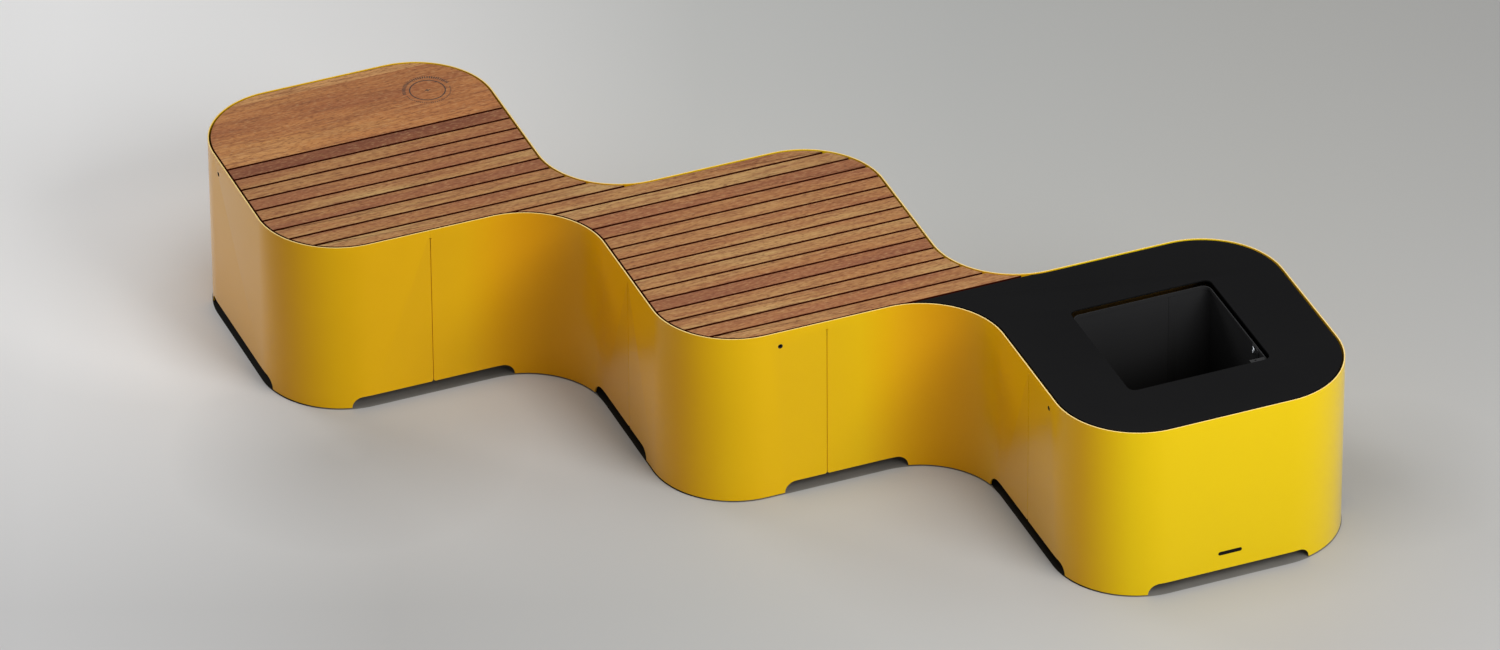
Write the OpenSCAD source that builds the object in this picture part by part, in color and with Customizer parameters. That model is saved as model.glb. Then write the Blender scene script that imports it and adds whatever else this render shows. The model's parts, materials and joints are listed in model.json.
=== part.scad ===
// Modular bench: three square modules joined corner to corner under one flowing skin.
// Module A carries a wide wooden panel with a charging point and nine slats, module B fifteen
// slats, and module C a dark lid with a square opening over a lift-out liner.
// X runs along the slats, Y to the back, Z up. The origin is on the floor under module B.

/* [Overall] */
// Side of each square module, also the step from one module to the next
cell = 700; // [640:10:780]
// Height of the seat above the floor
height = 450; // [430:5:500]
// Radius of the outer skin at every corner, outward and inward
corner_r = 200; // [180:5:220]

/* [Skin] */
// Thickness of the skin's sheet
skin_t = 3; // [2:0.5:4]
// Gap between the skin and the floor, taken up by the feet
skin_lift = 3; // [1:0.5:6]
// Gap between the skin's inside and the decks
rim_gap = 4.5; // [3.5:0.5:6]
// Width of the open part of a seam between two skin panels
seam_w = 1.6; // [0.6:0.2:3]
// Height of the closed part of a seam, at the top
seam_top = 22; // [16:1:30]
// Width of the closed part of a seam
seam_hair = 0.2; // [0.1:0.1:0.4]
// Size of the small square cut where a seam meets the bottom edge
seam_relief = 6; // [3:1:8]
// Height of the clearance cut along the bottom of each side
notch_h = 30; // [22:1:34]
// Radius at the ends of that cut
notch_r = 27; // [15:1:30]
// How far that cut runs into a curve
notch_past = 50; // [20:5:70]
// How far it stops short of the middle module's two outward curves
notch_short = 45; // [20:5:80]

/* [Deck] */
// Number of slat places across one module
slat_count = 15; // [14:1:16]
// Slat places that the charging panel takes up
panel_places = 6; // [5:1:7]
// Gap between two slats
slat_gap = 6.7; // [5:0.1:8]
// Thickness of the slats and the charging panel
slat_t = 22; // [18:1:28]
// Width of a deck bar's flange
bar_w = 40; // [34:1:44]
// Height of a deck bar, flange and web
bar_h = 30; // [26:1:36]
// Thickness of a deck bar's flange and web
bar_t = 5; // [4:0.5:6]
// Distance of a deck's cross ties from its middle
tie_y = 120; // [100:5:140]
// Diameter of a deck screw's shank
screw_d = 5; // [4:0.5:6]
// Length of a deck screw inside the wood
screw_in = 13; // [10:1:14]
// Distance of a deck screw from its bar's web
screw_off = 12; // [10:0.5:13]

/* [Frame] */
// Distance of a frame's outside from the module's side
frame_inset = 65; // [60:1:72]
// Leg of the frame's angle section
angle_w = 40; // [36:1:44]
// Thickness of the frame's angle section
angle_t = 4; // [3:0.5:5]
// Height of the frame's underside above the floor
base_z = 40; // [38:1:46]
// Width of the strap behind the skin at the middle of each side
strap_w = 44; // [42:2:60]
// Thickness of that strap
strap_t = 5; // [4:0.5:6]
// Width of the arm that holds the strap
arm_w = 30; // [24:2:36]
// Thickness of the arm
arm_t = 20; // [16:1:24]
// Distance of a skin stud from the seam
stud_off = 14; // [12:1:15]
// Diameter of a skin stud
stud_d = 6; // [4:0.5:6.5]
// Thickness of the rubber pads that the decks and the lid rest on
pad_t = 4; // [3:0.5:6]
// Distance between the ground anchor holes of a module
anchor_step = 410; // [390:5:430]
// Diameter of a ground anchor hole
anchor_d = 13; // [10:0.5:16]

/* [Coupling between modules] */
// Length of a coupling plate
link_l = 370; // [350:5:380]
// Width of a coupling plate
link_w = 120; // [110:2:130]
// Thickness of a coupling plate
link_t = 3; // [2:0.5:3.5]
// Diameter of a coupling bolt
bolt_d = 8; // [6:1:10]

/* [Feet] */
// Diameter of a foot's rubber pad
foot_d = 50; // [40:2:60]
// Thickness of a foot's rubber pad
foot_t = 8; // [6:1:12]
// Diameter of a foot's threaded stud
foot_stud_d = 12; // [10:1:14]
// Distance of the feet from the middle of a frame's side
foot_step = 150; // [130:5:160]

/* [Lid and liner] */
// Thickness of the lid's plate
lid_t = 4; // [3:0.5:6]
// Side of the square opening in the lid
opening = 350; // [320:5:360]
// Corner radius of that opening
opening_r = 18; // [8:1:30]
// Width of the lid frame's bars
lid_bar_w = 20; // [15:1:24]
// Distance from the edge of the opening to the lid frame's bars
lid_bar_gap = 15; // [10:1:18]
// Clearance round the liner in the opening
liner_gap = 4; // [3:0.5:6]
// Corner radius of the liner
liner_r = 20; // [18:1:30]
// Thickness of the liner's sheet
liner_t = 1.5; // [1:0.5:3]
// Gap from the lid's underside down to the liner's rim
liner_drop = 8; // [5:1:12]
// Height of the two rails that the liner stands on
rail_h = 22; // [18:1:30]
// Width of those rails
rail_w = 20; // [15:1:30]
// Distance of those rails from the module's middle
rail_y = 100; // [80:5:120]

/* [Locks] */
// Running clearance of a barrel in its bracket and a cam in its barrel, on the radius
run_gap = 0.05; // [0.02:0.01:0.1]
// Depth of the key holes below the top of the skin
key_down = 38; // [36:0.5:40]
// Diameter of a key hole in the skin
key_d = 12; // [10:0.5:14]
// Distance of a key hole from the middle of its side
key_off = 115; // [105:5:120]
// Diameter of a lock's barrel
barrel_d = 18; // [16:0.5:18]
// Length of a lock's barrel
barrel_l = 38; // [34:1:40]
// Length of a lock's cam, from its axis
cam_l = 34; // [30:1:38]
// Thickness of a lock's cam
cam_t = 3; // [2:0.5:4]
// Width of a lock's cam
cam_w = 12; // [10:1:14]

/* [Charging point] */
// Distance of the charging point from the middle of its module, both ways
coil_off = 208; // [195:1:212]
// Diameter of the charging coil's case
coil_d = 90; // [80:2:96]
// Thickness of the charging coil's case
coil_t = 9; // [6:1:12]
// Side of the charger's square box
charger_w = 88; // [70:2:90]
// Height of the charger's box
charger_h = 26; // [20:1:28]

/* [Name plate] */
// Length of the bare oval plate
plate_w = 59; // [40:1:80]
// Height of the bare oval plate
plate_h = 10; // [8:0.5:14]
// Height of its middle above the floor
plate_z = 74; // [60:1:90]
// Depth of its seat in the skin
plate_t = 1; // [0.5:0.1:1.4]

/* [Hidden] */
$fn = 96;
half = cell / 2;
straight = half - corner_r;
deck_inset = skin_t + rim_gap;
skin_in = half - skin_t;
slat_pitch = cell / slat_count;
slat_z = height - slat_t;
top_z = slat_z - bar_h - pad_t;
ring = half - frame_inset;
ring_in = ring - angle_w;
leg_mid = ring - angle_w / 2;
strap_in = skin_in - strap_t;
strap_lo = notch_h + 6;
stud_in = 57;
stud_z = [base_z + stud_in, top_z - stud_in];
// Seat between pieces that touch, and how far cuts run past a face and welded parts overlap
hair = 0.3;
past = 1;
weld = 1;
// Nuts and heads, as shares of their thread's diameter
nut_high = 0.8;
nut_wide = 1.8;
// How far a thread stands out of its nut
thread_out = 3;

centre_a = [-cell, cell];
centre_b = [0, 0];
centre_c = [cell, -cell];
neck_ab = [-half, half];
neck_bc = [half, -half];

// A face is turned to the front for drawing: its angle turns it back to its own side
front = 0;
left = -90;
right = 90;
back = 180;

// Which end of a clearance cut is the short one: towards the middle module's outward curves
whole = 0;
short_low = -1;
short_high = 1;

// Seams: a point on the outline, and whether the wall runs along X there
seam_a_front = [-cell, half, true];
seam_a_right = [-half, cell, false];
seam_b_left = [-half, 0, false];
seam_b_front = [0, -half, true];
seam_b_right = [half, 0, false];
seam_b_back = [0, half, true];
seam_c_left = [half, -cell, false];
seam_c_back = [cell, -half, true];

// Faces: centre of the module, angle, and the kind of clearance cut
a_front = [centre_a, front, whole];
a_left = [centre_a, left, whole];
a_right = [centre_a, right, whole];
a_back = [centre_a, back, whole];
b_front = [centre_b, front, short_low];
b_left = [centre_b, left, short_high];
b_right = [centre_b, right, short_high];
b_back = [centre_b, back, short_low];
c_front = [centre_c, front, whole];
c_left = [centre_c, left, whole];
c_right = [centre_c, right, whole];
c_back = [centre_c, back, whole];

all_faces = [a_front, a_left, a_right, a_back, b_front, b_left, b_right, b_back,
             c_front, c_left, c_right, c_back];

slats_a = slat_count - panel_places;
slats_b = slat_count;

// Names of numbered nodes
function two(n) = str(n < 10 ? "0" : "", n);
function slat_name(module_letter, k) = str("slat_", module_letter, "_", two(k + 1));

// Plan outlines, all made of circles and squares so that every curve is a true arc

function listed(v, list) = len([for (n = list) if (n == v) n]) > 0;

// One module's block, drawn inwards by inset; a corner listed in necks stays square
module block(centre, necks, inset) {
  corners = [for (sx = [-1, 1], sy = [-1, 1]) if (!listed([sx, sy], necks)) [sx, sy]];
  translate(centre) {
    difference() {
      square(2 * (half - inset), center = true);
      for (c = corners)
        translate(c * (half - inset)) square(2 * (corner_r - inset), center = true);
    }
    for (c = corners) translate(c * straight) circle(corner_r - inset);
  }
}

// The waist between two modules
module neck(centre, inset) {
  translate(centre) difference() {
    square(2 * corner_r, center = true);
    for (s = [-1, 1]) translate([s * corner_r, s * corner_r]) circle(corner_r + inset);
  }
}

module plan_a(inset) {
  block(centre_a, [[1, -1]], inset);
  neck(neck_ab, inset);
}

module plan_b(inset) {
  block(centre_b, [[1, -1], [-1, 1]], inset);
  neck(neck_ab, inset);
  neck(neck_bc, inset);
}

module plan_c(inset) {
  block(centre_c, [[-1, 1]], inset);
  neck(neck_bc, inset);
}

module plan(inset) {
  plan_a(inset);
  plan_b(inset);
  block(centre_c, [[-1, 1]], inset);
  neck(neck_bc, inset);
}

// A rectangle given by its two corners
module area(lo, hi) {
  translate(lo) square(hi - lo);
}

// Puts what is drawn for a front side onto any side of any module
module on_face(face) {
  translate(face[0]) rotate(face[1]) children();
}

// Skin

module seam_cut(seam, width) {
  across = 8 * skin_t;
  translate([seam[0], seam[1]])
    square(seam[2] ? [width, across] : [across, width], center = true);
}

module notch_shape(lo, hi) {
  flat_z = notch_h - notch_r;
  translate([lo + notch_r, -notch_h]) square([hi - lo - 2 * notch_r, 2 * notch_h]);
  translate([lo, -notch_h]) square([hi - lo, notch_h + flat_z]);
  for (x = [lo + notch_r, hi - notch_r]) translate([x, flat_z]) circle(notch_r);
}

// The clearance cut along the bottom of one side
module notch(face) {
  long_end = straight + notch_past;
  short_end = straight - notch_short;
  lo = face[2] == short_low ? -short_end : -long_end;
  hi = face[2] == short_high ? short_end : long_end;
  on_face(face) translate([0, -half, 0]) rotate([90, 0, 0])
    linear_extrude(12 * skin_t, center = true) notch_shape(lo, hi);
}

module skin_area(regions, seams, width) {
  difference() {
    intersection() {
      difference() {
        plan(0);
        plan(skin_t);
      }
      for (r = regions) area(r[0], r[1]);
    }
    for (s = seams) seam_cut(s, width);
  }
}

// One panel of the skin: the part of the outline inside its regions, cut at its two seams
module skin_panel(regions, seams, faces) {
  color("gold") difference() {
    union() {
      translate([0, 0, skin_lift])
        linear_extrude(height - seam_top - skin_lift) skin_area(regions, seams, seam_w);
      translate([0, 0, height - seam_top])
        linear_extrude(seam_top) skin_area(regions, seams, seam_hair);
    }
    for (f = faces) notch(f);
    for (s = seams) translate([s[0], s[1], notch_h]) rotate(s[2] ? 0 : 90) rotate([0, 45, 0])
      cube([seam_relief, 8 * skin_t, seam_relief], center = true);
  }
}

module key_hole(face, side) {
  on_face(face) translate([side * key_off, -half + 2 * skin_t, height - key_down])
    rotate([90, 0, 0]) cylinder(h = 4 * skin_t, d = key_d);
}

module skin_a_end() {
  difference() {
    skin_panel([[[-2 * cell, half], [-cell, 2 * cell]], [[-2 * cell, cell], [-half, 2 * cell]]],
               [seam_a_front, seam_a_right], [a_front, a_left, a_back, a_right]);
    color("gold") key_hole(a_left, -1);
  }
}

module skin_neck_ab_front() {
  skin_panel([[[-cell, 0], [-skin_in, half + skin_t]]],
             [seam_a_front, seam_b_left], [a_front, b_left]);
}

module skin_neck_ab_back() {
  skin_panel([[[-half - skin_t, skin_in], [0, cell]]],
             [seam_b_back, seam_a_right], [b_back, a_right]);
}

module skin_b_front() {
  difference() {
    skin_panel([[[-half, -half], [0, 0]]], [seam_b_left, seam_b_front], [b_left, b_front]);
    color("gold") key_hole(b_front, -1);
  }
}

module skin_b_back() {
  skin_panel([[[0, 0], [half, half]]], [seam_b_right, seam_b_back], [b_right, b_back]);
}

module skin_neck_bc_front() {
  skin_panel([[[0, -cell], [half + skin_t, -skin_in]]],
             [seam_b_front, seam_c_left], [b_front, c_left]);
}

module skin_neck_bc_back() {
  skin_panel([[[skin_in, -half - skin_t], [cell, 0]]],
             [seam_c_back, seam_b_right], [c_back, b_right]);
}

module skin_c_end() {
  difference() {
    skin_panel([[[half, -2 * cell], [2 * cell, -cell]], [[cell, -2 * cell], [2 * cell, -half]]],
               [seam_c_left, seam_c_back], [c_left, c_front, c_right, c_back]);
    color("gold") key_hole(c_left, 1);
    color("gold") on_face(c_front) translate([0, -half + plate_t, plate_z]) rotate([90, 0, 0])
      linear_extrude(plate_t + past) oval(plate_w, plate_h);
  }
}

module oval(w, h) {
  square([w - h, h], center = true);
  for (s = [-1, 1]) translate([s * (w - h) / 2, 0]) circle(d = h);
}

module name_plate() {
  color([0.1, 0.1, 0.1]) on_face(c_front) translate([0, -half + plate_t, plate_z])
    rotate([90, 0, 0]) linear_extrude(plate_t) oval(plate_w - 2 * hair, plate_h - 2 * hair);
}

// Frames

// A square ring of angle section: flat leg at z, upright leg on the side that up gives
module angle_ring(z, up) {
  difference() {
    translate([-ring, -ring, z]) cube([2 * ring, 2 * ring, angle_t]);
    translate([-ring_in, -ring_in, z - past])
      cube([2 * ring_in, 2 * ring_in, angle_t + 2 * past]);
  }
  leg_z = up ? z + angle_t : z + angle_t - angle_w;
  leg_h = angle_w - angle_t;
  difference() {
    translate([-ring, -ring, leg_z]) cube([2 * ring, 2 * ring, leg_h]);
    translate([angle_t - ring, angle_t - ring, leg_z - past])
      cube([2 * (ring - angle_t), 2 * (ring - angle_t), leg_h + 2 * past]);
  }
}

// An angle post in each corner of a frame
module corner_posts() {
  lo = base_z + angle_t;
  tall = top_z - angle_t - lo;
  for (a = [0 : 90 : 270]) rotate(a) {
    translate([ring - angle_t, ring - angle_w, lo]) cube([angle_t, angle_w, tall]);
    translate([ring - angle_w, ring - angle_t, lo]) cube([angle_w, angle_t, tall]);
  }
}

// How much wider than its bolt or stud a plain hole is
hole_more = 1;

// Bracket behind the skin at the middle of a side: a strap on two arms, bolted to the frame
arm_end = 10;
strap_top = top_z - 2;
arm_z = [base_z + arm_end, top_z - arm_end - arm_t];
module skin_bracket() {
  difference() {
    union() {
      translate([-strap_w / 2, -skin_in, strap_lo])
        cube([strap_w, strap_t, strap_top - strap_lo]);
      for (z = arm_z)
        translate([-arm_w / 2, -strap_in, z]) cube([arm_w, strap_in - ring, arm_t]);
    }
    for (s = [-1, 1], z = stud_z)
      translate([s * stud_off, -skin_in - past, z]) rotate([-90, 0, 0])
        cylinder(h = strap_t + 2 * past, d = stud_d + hole_more);
    for (z = arm_z) translate([0, -ring, z + arm_t / 2]) rotate([90, 0, 0])
      translate([0, 0, -past]) cylinder(h = arm_bolt_in + past + hair, d = bolt_d + 2 * run_gap);
  }
}

// Depth of a bracket's bolts in its arms
arm_bolt_in = 18;
module skin_brackets() {
  color("gold") for (f = all_faces) on_face(f) skin_bracket();
}

module arm_bolt_holes() {
  for (z = arm_z) translate([0, past - ring + angle_t, z + arm_t / 2]) rotate([90, 0, 0])
    cylinder(h = angle_t + 2 * past, d = bolt_d + hole_more);
}

function foot_places() = [for (sx = [-1, 1], sy = [-1, 1]) [sx * leg_mid, sy * foot_step]];
function anchor_places() = [for (sx = [-1, 1], sy = [-1, 1]) [sx, sy] * anchor_step / 2];

// Bolt places round a waist, from the waist's middle: two in each frame, link_step apart
link_step = 50;
link_a = half - leg_mid;
link_b = link_a + link_step;
function link_places() =
  [for (s = [-1, 1]) each [[s * link_a, -s * link_b], [s * link_b, -s * link_a]]];

module link_holes(necks) {
  for (n = necks, p = link_places(), z = [base_z - link_t, top_z - angle_t])
    translate([n[0] + p[0], n[1] + p[1], z - past])
      cylinder(h = link_t + angle_t + 2 * past, d = bolt_d + hole_more);
}

// Metal round a ground anchor's hole
anchor_land = 30;
module frame(centre, necks) {
  tab = anchor_step / 2 - anchor_land;
  difference() {
    translate(centre) difference() {
      union() {
        angle_ring(base_z, true);
        angle_ring(top_z - angle_t, false);
        corner_posts();
        for (a = [0 : 90 : 270]) rotate(a) translate([tab, tab, base_z])
          cube([ring_in - tab + weld, ring_in - tab + weld, angle_t]);
      }
      for (a = [0 : 90 : 270]) rotate(a) arm_bolt_holes();
      for (p = foot_places()) translate([p[0], p[1], base_z - past])
        cylinder(h = angle_t + 2 * past, d = foot_stud_d + hole_more);
      for (p = anchor_places()) translate([p[0], p[1], base_z - past])
        cylinder(h = angle_t + 2 * past, d = anchor_d);
    }
    link_holes(necks);
  }
}

// Catch that a lock's cam swings under, standing on the top of a frame
keeper_t = 4;
keeper_w = 20;
keeper_off = 24;
keeper_lip = 7;
keeper_clear = 1.5;
module keeper(face, side) {
  lip_z = height - key_down + cam_w / 2 + keeper_clear;
  on_face(face) translate([side * key_off - keeper_off - keeper_w, 0, 0]) {
    translate([0, -ring, top_z]) cube([keeper_w, keeper_t, lip_z + keeper_t - top_z]);
    translate([0, cam_y - keeper_lip, lip_z])
      cube([keeper_w, -ring - cam_y + keeper_lip, keeper_t]);
  }
}

module lock_keepers() {
  color("silver") {
    keeper(a_left, -1);
    keeper(b_front, -1);
    keeper(c_left, 1);
  }
}

module frame_a() {
  color("gold") frame(centre_a, [neck_ab]);
}

module frame_b() {
  color("gold") frame(centre_b, [neck_ab, neck_bc]);
}

// The frame under the lid also has two rails that the liner stands on
rail_z = base_z + angle_t;
module frame_c() {
  color("gold") {
    frame(centre_c, [neck_bc]);
    translate(centre_c) for (s = [-1, 1])
      translate([angle_t - ring, s * rail_y - rail_w / 2, rail_z])
        cube([2 * (ring - angle_t), rail_w, rail_h]);
  }
}

module link_plate(z) {
  for (n = [neck_ab, neck_bc]) translate([n[0], n[1], z]) difference() {
    rotate([0, 0, -45]) translate([-link_l / 2, -link_w / 2, 0]) cube([link_l, link_w, link_t]);
    for (p = link_places()) translate([p[0], p[1], -past])
      cylinder(h = link_t + 2 * past, d = bolt_d + hole_more);
  }
}

module coupling_plates() {
  color("dimgray") {
    link_plate(base_z - link_t);
    link_plate(top_z);
  }
}

// Bolts of the coupling plates: below, with the head under the plate; above, ending flush
module coupling_bolts() {
  nut_h = nut_high * bolt_d;
  grip = link_t + angle_t;
  head_h = nut_h / 2;
  color("silver") for (n = [neck_ab, neck_bc], p = link_places()) {
    translate([n[0] + p[0], n[1] + p[1], base_z - link_t - head_h]) {
      cylinder(h = head_h, d = nut_wide * bolt_d);
      cylinder(h = head_h + grip + nut_h + thread_out, d = bolt_d);
      translate([0, 0, head_h + grip]) cylinder(h = nut_h, d = nut_wide * bolt_d, $fn = 6);
    }
    translate([n[0] + p[0], n[1] + p[1], top_z - angle_t - nut_h - thread_out]) {
      cylinder(h = thread_out + nut_h + grip, d = bolt_d);
      translate([0, 0, thread_out]) cylinder(h = nut_h, d = nut_wide * bolt_d, $fn = 6);
    }
  }
}

// Bolts that hold the skin's brackets, put in from inside the frame
module arm_bolts() {
  head_h = nut_high * bolt_d;
  color("silver") for (f = all_faces, z = arm_z)
    on_face(f) translate([0, -ring, z + arm_t / 2]) rotate([90, 0, 0])
      translate([0, 0, -angle_t]) {
        cylinder(h = angle_t + arm_bolt_in, d = bolt_d);
        translate([0, 0, -head_h]) cylinder(h = head_h, d = nut_wide * bolt_d, $fn = 6);
      }
}

module frame_bolts() {
  coupling_bolts();
  arm_bolts();
}

// Studs that stand on the inside of the skin and hold it to the brackets
module skin_studs() {
  nut_h = nut_high * stud_d;
  color("silver")
    for (f = all_faces, s = [-1, 1], z = stud_z)
      on_face(f) translate([s * stud_off, -skin_in, z]) rotate([-90, 0, 0]) {
        cylinder(h = strap_t + nut_h + thread_out, d = stud_d);
        translate([0, 0, strap_t]) cylinder(h = nut_h, d = nut_wide * stud_d, $fn = 6);
      }
}

module foot_studs() {
  nut_h = nut_high * foot_stud_d;
  color("silver") for (c = [centre_a, centre_b, centre_c], p = foot_places())
    translate([c[0] + p[0], c[1] + p[1], 0]) {
      translate([0, 0, foot_t])
        cylinder(h = base_z + angle_t + nut_h + thread_out - foot_t, d = foot_stud_d);
      for (z = [base_z - nut_h, base_z + angle_t])
        translate([0, 0, z]) cylinder(h = nut_h, d = nut_wide * foot_stud_d, $fn = 6);
    }
}

module foot_pads() {
  lip = 2;
  color([0.12, 0.12, 0.12]) for (c = [centre_a, centre_b, centre_c], p = foot_places())
    translate([c[0] + p[0], c[1] + p[1], 0]) {
      cylinder(h = foot_t - lip, d = foot_d);
      translate([0, 0, foot_t - lip]) cylinder(h = lip, d1 = foot_d, d2 = foot_d - 2 * lip);
    }
}

// Rubber pads on the frames, under the ends of each deck's ties and of the lid frame's bars
pad_w = 28;
module rest_pads() {
  deck_pads = [for (sx = [-1, 1], sy = [-1, 1]) [sx * leg_mid, sy * tie_y]];
  lid_pads = [[-lid_bar, -leg_mid], [lid_bar, -leg_mid], [lid_bar, leg_mid]];
  for_each = [[centre_a, deck_pads], [centre_b, deck_pads], [centre_c, lid_pads]];
  color([0.12, 0.12, 0.12]) {
    for (m = for_each, p = m[1])
      translate([m[0][0] + p[0] - pad_w / 2, m[0][1] + p[1] - pad_w / 2, top_z])
        cube([pad_w, pad_w, pad_t]);
    // The lid's fourth pad lies on the coupling plate, so it is thinner
    translate([centre_c[0] - lid_bar - pad_w / 2, centre_c[1] + leg_mid - pad_w / 2, top_z + link_t])
      cube([pad_w, pad_w, pad_t - link_t]);
  }
}

// Decks

// Slats and the charging panel: strips of the outline, drawn in from the skin
module slat_strip(lo, hi, in_a) {
  translate([0, 0, slat_z]) linear_extrude(slat_t) intersection() {
    if (in_a) plan_a(deck_inset); else plan_b(deck_inset);
    area([-2 * cell, lo + slat_gap / 2], [2 * cell, hi - slat_gap / 2]);
  }
}

// Bars under a deck, from its middle: place along X, then both ends along Y
bar_out = ring - 45;
bar_in = bar_out / 3;
tie_end = leg_mid + 10;
bar_short = 15;
reach_in = half - bar_short;
reach_neck = half - 5;
reach_out = straight - bar_short
  + sqrt(pow(corner_r - deck_inset, 2) - pow(bar_out + bar_w / 2 - straight, 2));
bars_a = [[-bar_out, -reach_out, reach_out], [-bar_in, -reach_in, reach_in],
          [bar_in, -reach_in, reach_in], [bar_out, -reach_neck, reach_out]];
bars_b = [[-bar_out, -reach_out, reach_neck], [-bar_in, -reach_in, reach_in],
          [bar_in, -reach_in, reach_in], [bar_out, -reach_neck, reach_out]];

// The arm that carries the slat tip over a waist, and the screws in it
horn_w = 16;
horn_past = 80;
horn_end = half + horn_past;
horn_screw_in = 20;
horn_screw_step = 80;
horn_screws = [horn_end - horn_screw_in - horn_screw_step, horn_end - horn_screw_in];
horn_y = reach_neck - horn_w + 5;

// Screw places of one slat: the bars whose length reaches the middle of the slat
screw_edge = 8;
function screw_places(bars, y, horns) = concat(
  [for (b = bars) if (y > b[1] + screw_edge && y < b[2] - screw_edge) [b[0] + screw_off, y]],
  [for (h = horns) if (abs(y + h * horn_y) < slat_pitch / 2)
    each [for (x = horn_screws) [h * x, -h * horn_y]]]);

function slat_mid(k) = -half + (k + 0.5) * slat_pitch;
panel_mid = [half - slat_pitch, half - (panel_places - 0.5) * slat_pitch];

places_a = concat(
  [for (k = [0 : slats_a - 1]) each screw_places(bars_a, slat_mid(k), [1])],
  [for (y = panel_mid) each screw_places(bars_a, y, [])]);
places_b = [for (k = [0 : slats_b - 1]) each screw_places(bars_b, slat_mid(k), [1, -1])];

module pilot_holes(centre, places) {
  for (p = places) translate([centre[0] + p[0], centre[1] + p[1], slat_z - past])
    cylinder(h = screw_in + past + hair, d = screw_d + 2 * run_gap);
}

module slat_a(k) {
  color([0.65, 0.45, 0.29]) difference() {
    slat_strip(half + k * slat_pitch, half + (k + 1) * slat_pitch, true);
    pilot_holes(centre_a, screw_places(bars_a, slat_mid(k), [1]));
  }
}

module slat_b(k) {
  color([0.65, 0.45, 0.29]) difference() {
    slat_strip(-half + k * slat_pitch, -half + (k + 1) * slat_pitch, false);
    pilot_holes(centre_b, screw_places(bars_b, slat_mid(k), [1, -1]));
  }
}

module charging_panel() {
  color([0.62, 0.42, 0.27]) difference() {
    slat_strip(half + slats_a * slat_pitch, half + cell + slat_gap, true);
    for (y = panel_mid) pilot_holes(centre_a, screw_places(bars_a, y, []));
    translate([centre_a[0] + coil_off, centre_a[1] + coil_off, slat_z - past])
      cylinder(h = coil_t + past + hair, d = coil_d + 2 * hair);
  }
}

module charging_coil() {
  color([0.15, 0.15, 0.16])
    translate([centre_a[0] + coil_off, centre_a[1] + coil_off, slat_z])
      cylinder(h = coil_t, d = coil_d);
}

// The charger hangs under the panel beside the outer bar, with a cable gland on its end
charger_off = 12;
gland_d = 16;
gland_l = 14;
cable_d = 7;
module charger_box() {
  x = bar_out - bar_w / 2 - charger_off - charger_w;
  color([0.2, 0.2, 0.22])
    translate([centre_a[0] + x, centre_a[1] + coil_off - charger_w / 2, slat_z - charger_h]) {
      cube([charger_w, charger_w, charger_h]);
      translate([charger_w / 2, 0, charger_h / 2]) rotate([90, 0, 0]) difference() {
        cylinder(h = gland_l, d = gland_d);
        translate([0, 0, gland_l / 3]) cylinder(h = gland_l, d = cable_d);
      }
    }
}

module deck_screws(centre, places) {
  head_h = screw_d / 2;
  color("silver") for (p = places)
    translate([centre[0] + p[0], centre[1] + p[1], slat_z - bar_t]) {
      translate([0, 0, -head_h]) cylinder(h = head_h, d = nut_wide * screw_d);
      cylinder(h = bar_t + screw_in, d = screw_d);
    }
}

module deck_a_screws() {
  deck_screws(centre_a, places_a);
}

module deck_b_screws() {
  deck_screws(centre_b, places_b);
}

// Bracket that holds a lock's barrel, hung from a deck or from the lid. Its top plate runs
// inwards to reach, and sideways by aside where the nearest bar is beside it.
bracket_y = -skin_in + 25;
bracket_t = 4;
bracket_w = barrel_d + 14;
module lock_bracket(face, side, reach, aside = 0) {
  bottom = slat_z - bar_h;
  on_face(face) translate([side * key_off, 0, 0]) difference() {
    union() {
      translate([-bracket_w / 2, bracket_y, bottom]) cube([bracket_w, bracket_t, bar_h]);
      translate([-bracket_w / 2, bracket_y, slat_z - bar_t])
        cube([bracket_w + aside, -reach - bracket_y, bar_t]);
    }
    translate([0, bracket_y - past, height - key_down]) rotate([-90, 0, 0])
      cylinder(h = bracket_t + 2 * past, d = barrel_d + 2 * run_gap);
  }
}

// Welded frame of T bars, cross ties and the arms over the waists
module deck_frame(centre, bars, horns, places) {
  bottom = slat_z - bar_h;
  web_h = bar_h - bar_t;
  translate(centre) difference() {
    union() {
      for (b = bars) {
        translate([b[0] - bar_w / 2, b[1], slat_z - bar_t]) cube([bar_w, b[2] - b[1], bar_t]);
        translate([b[0] - bar_t / 2, b[1], bottom]) cube([bar_t, b[2] - b[1], web_h]);
      }
      for (s = [-1, 1]) translate([-tie_end, s * tie_y - bar_t / 2, bottom])
        cube([2 * tie_end, bar_t, web_h]);
      for (h = horns) rotate(h > 0 ? 0 : 180) {
        translate([bar_out, -reach_neck, slat_z - bar_t])
          cube([horn_end - bar_out, horn_w, bar_t]);
        translate([bar_out, -reach_neck, bottom]) cube([horn_end - bar_out, bar_t, web_h]);
      }
    }
    for (p = places) translate([p[0], p[1], slat_z - bar_t - past])
      cylinder(h = bar_t + 2 * past, d = screw_d + 2 * hair);
  }
}

module deck_a_frame() {
  color("lightsteelblue") {
    deck_frame(centre_a, bars_a, [1], places_a);
    lock_bracket(a_left, -1, bar_out + bar_w / 2 - weld);
  }
}

module deck_b_frame() {
  color("lightsteelblue") {
    deck_frame(centre_b, bars_b, [1, -1], places_b);
    lock_bracket(b_front, -1, leg_mid, key_off - bracket_w / 2 - bar_in);
  }
}

// Lid

lid_z = height - lid_t;
lid_bar = opening / 2 + lid_bar_gap + lid_bar_w / 2;
edge_bar_t = 12;

module rounded_square(side, r) {
  square([side, side - 2 * r], center = true);
  square([side - 2 * r, side], center = true);
  for (sx = [-1, 1], sy = [-1, 1]) translate([sx, sy] * (side / 2 - r)) circle(r);
}

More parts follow.
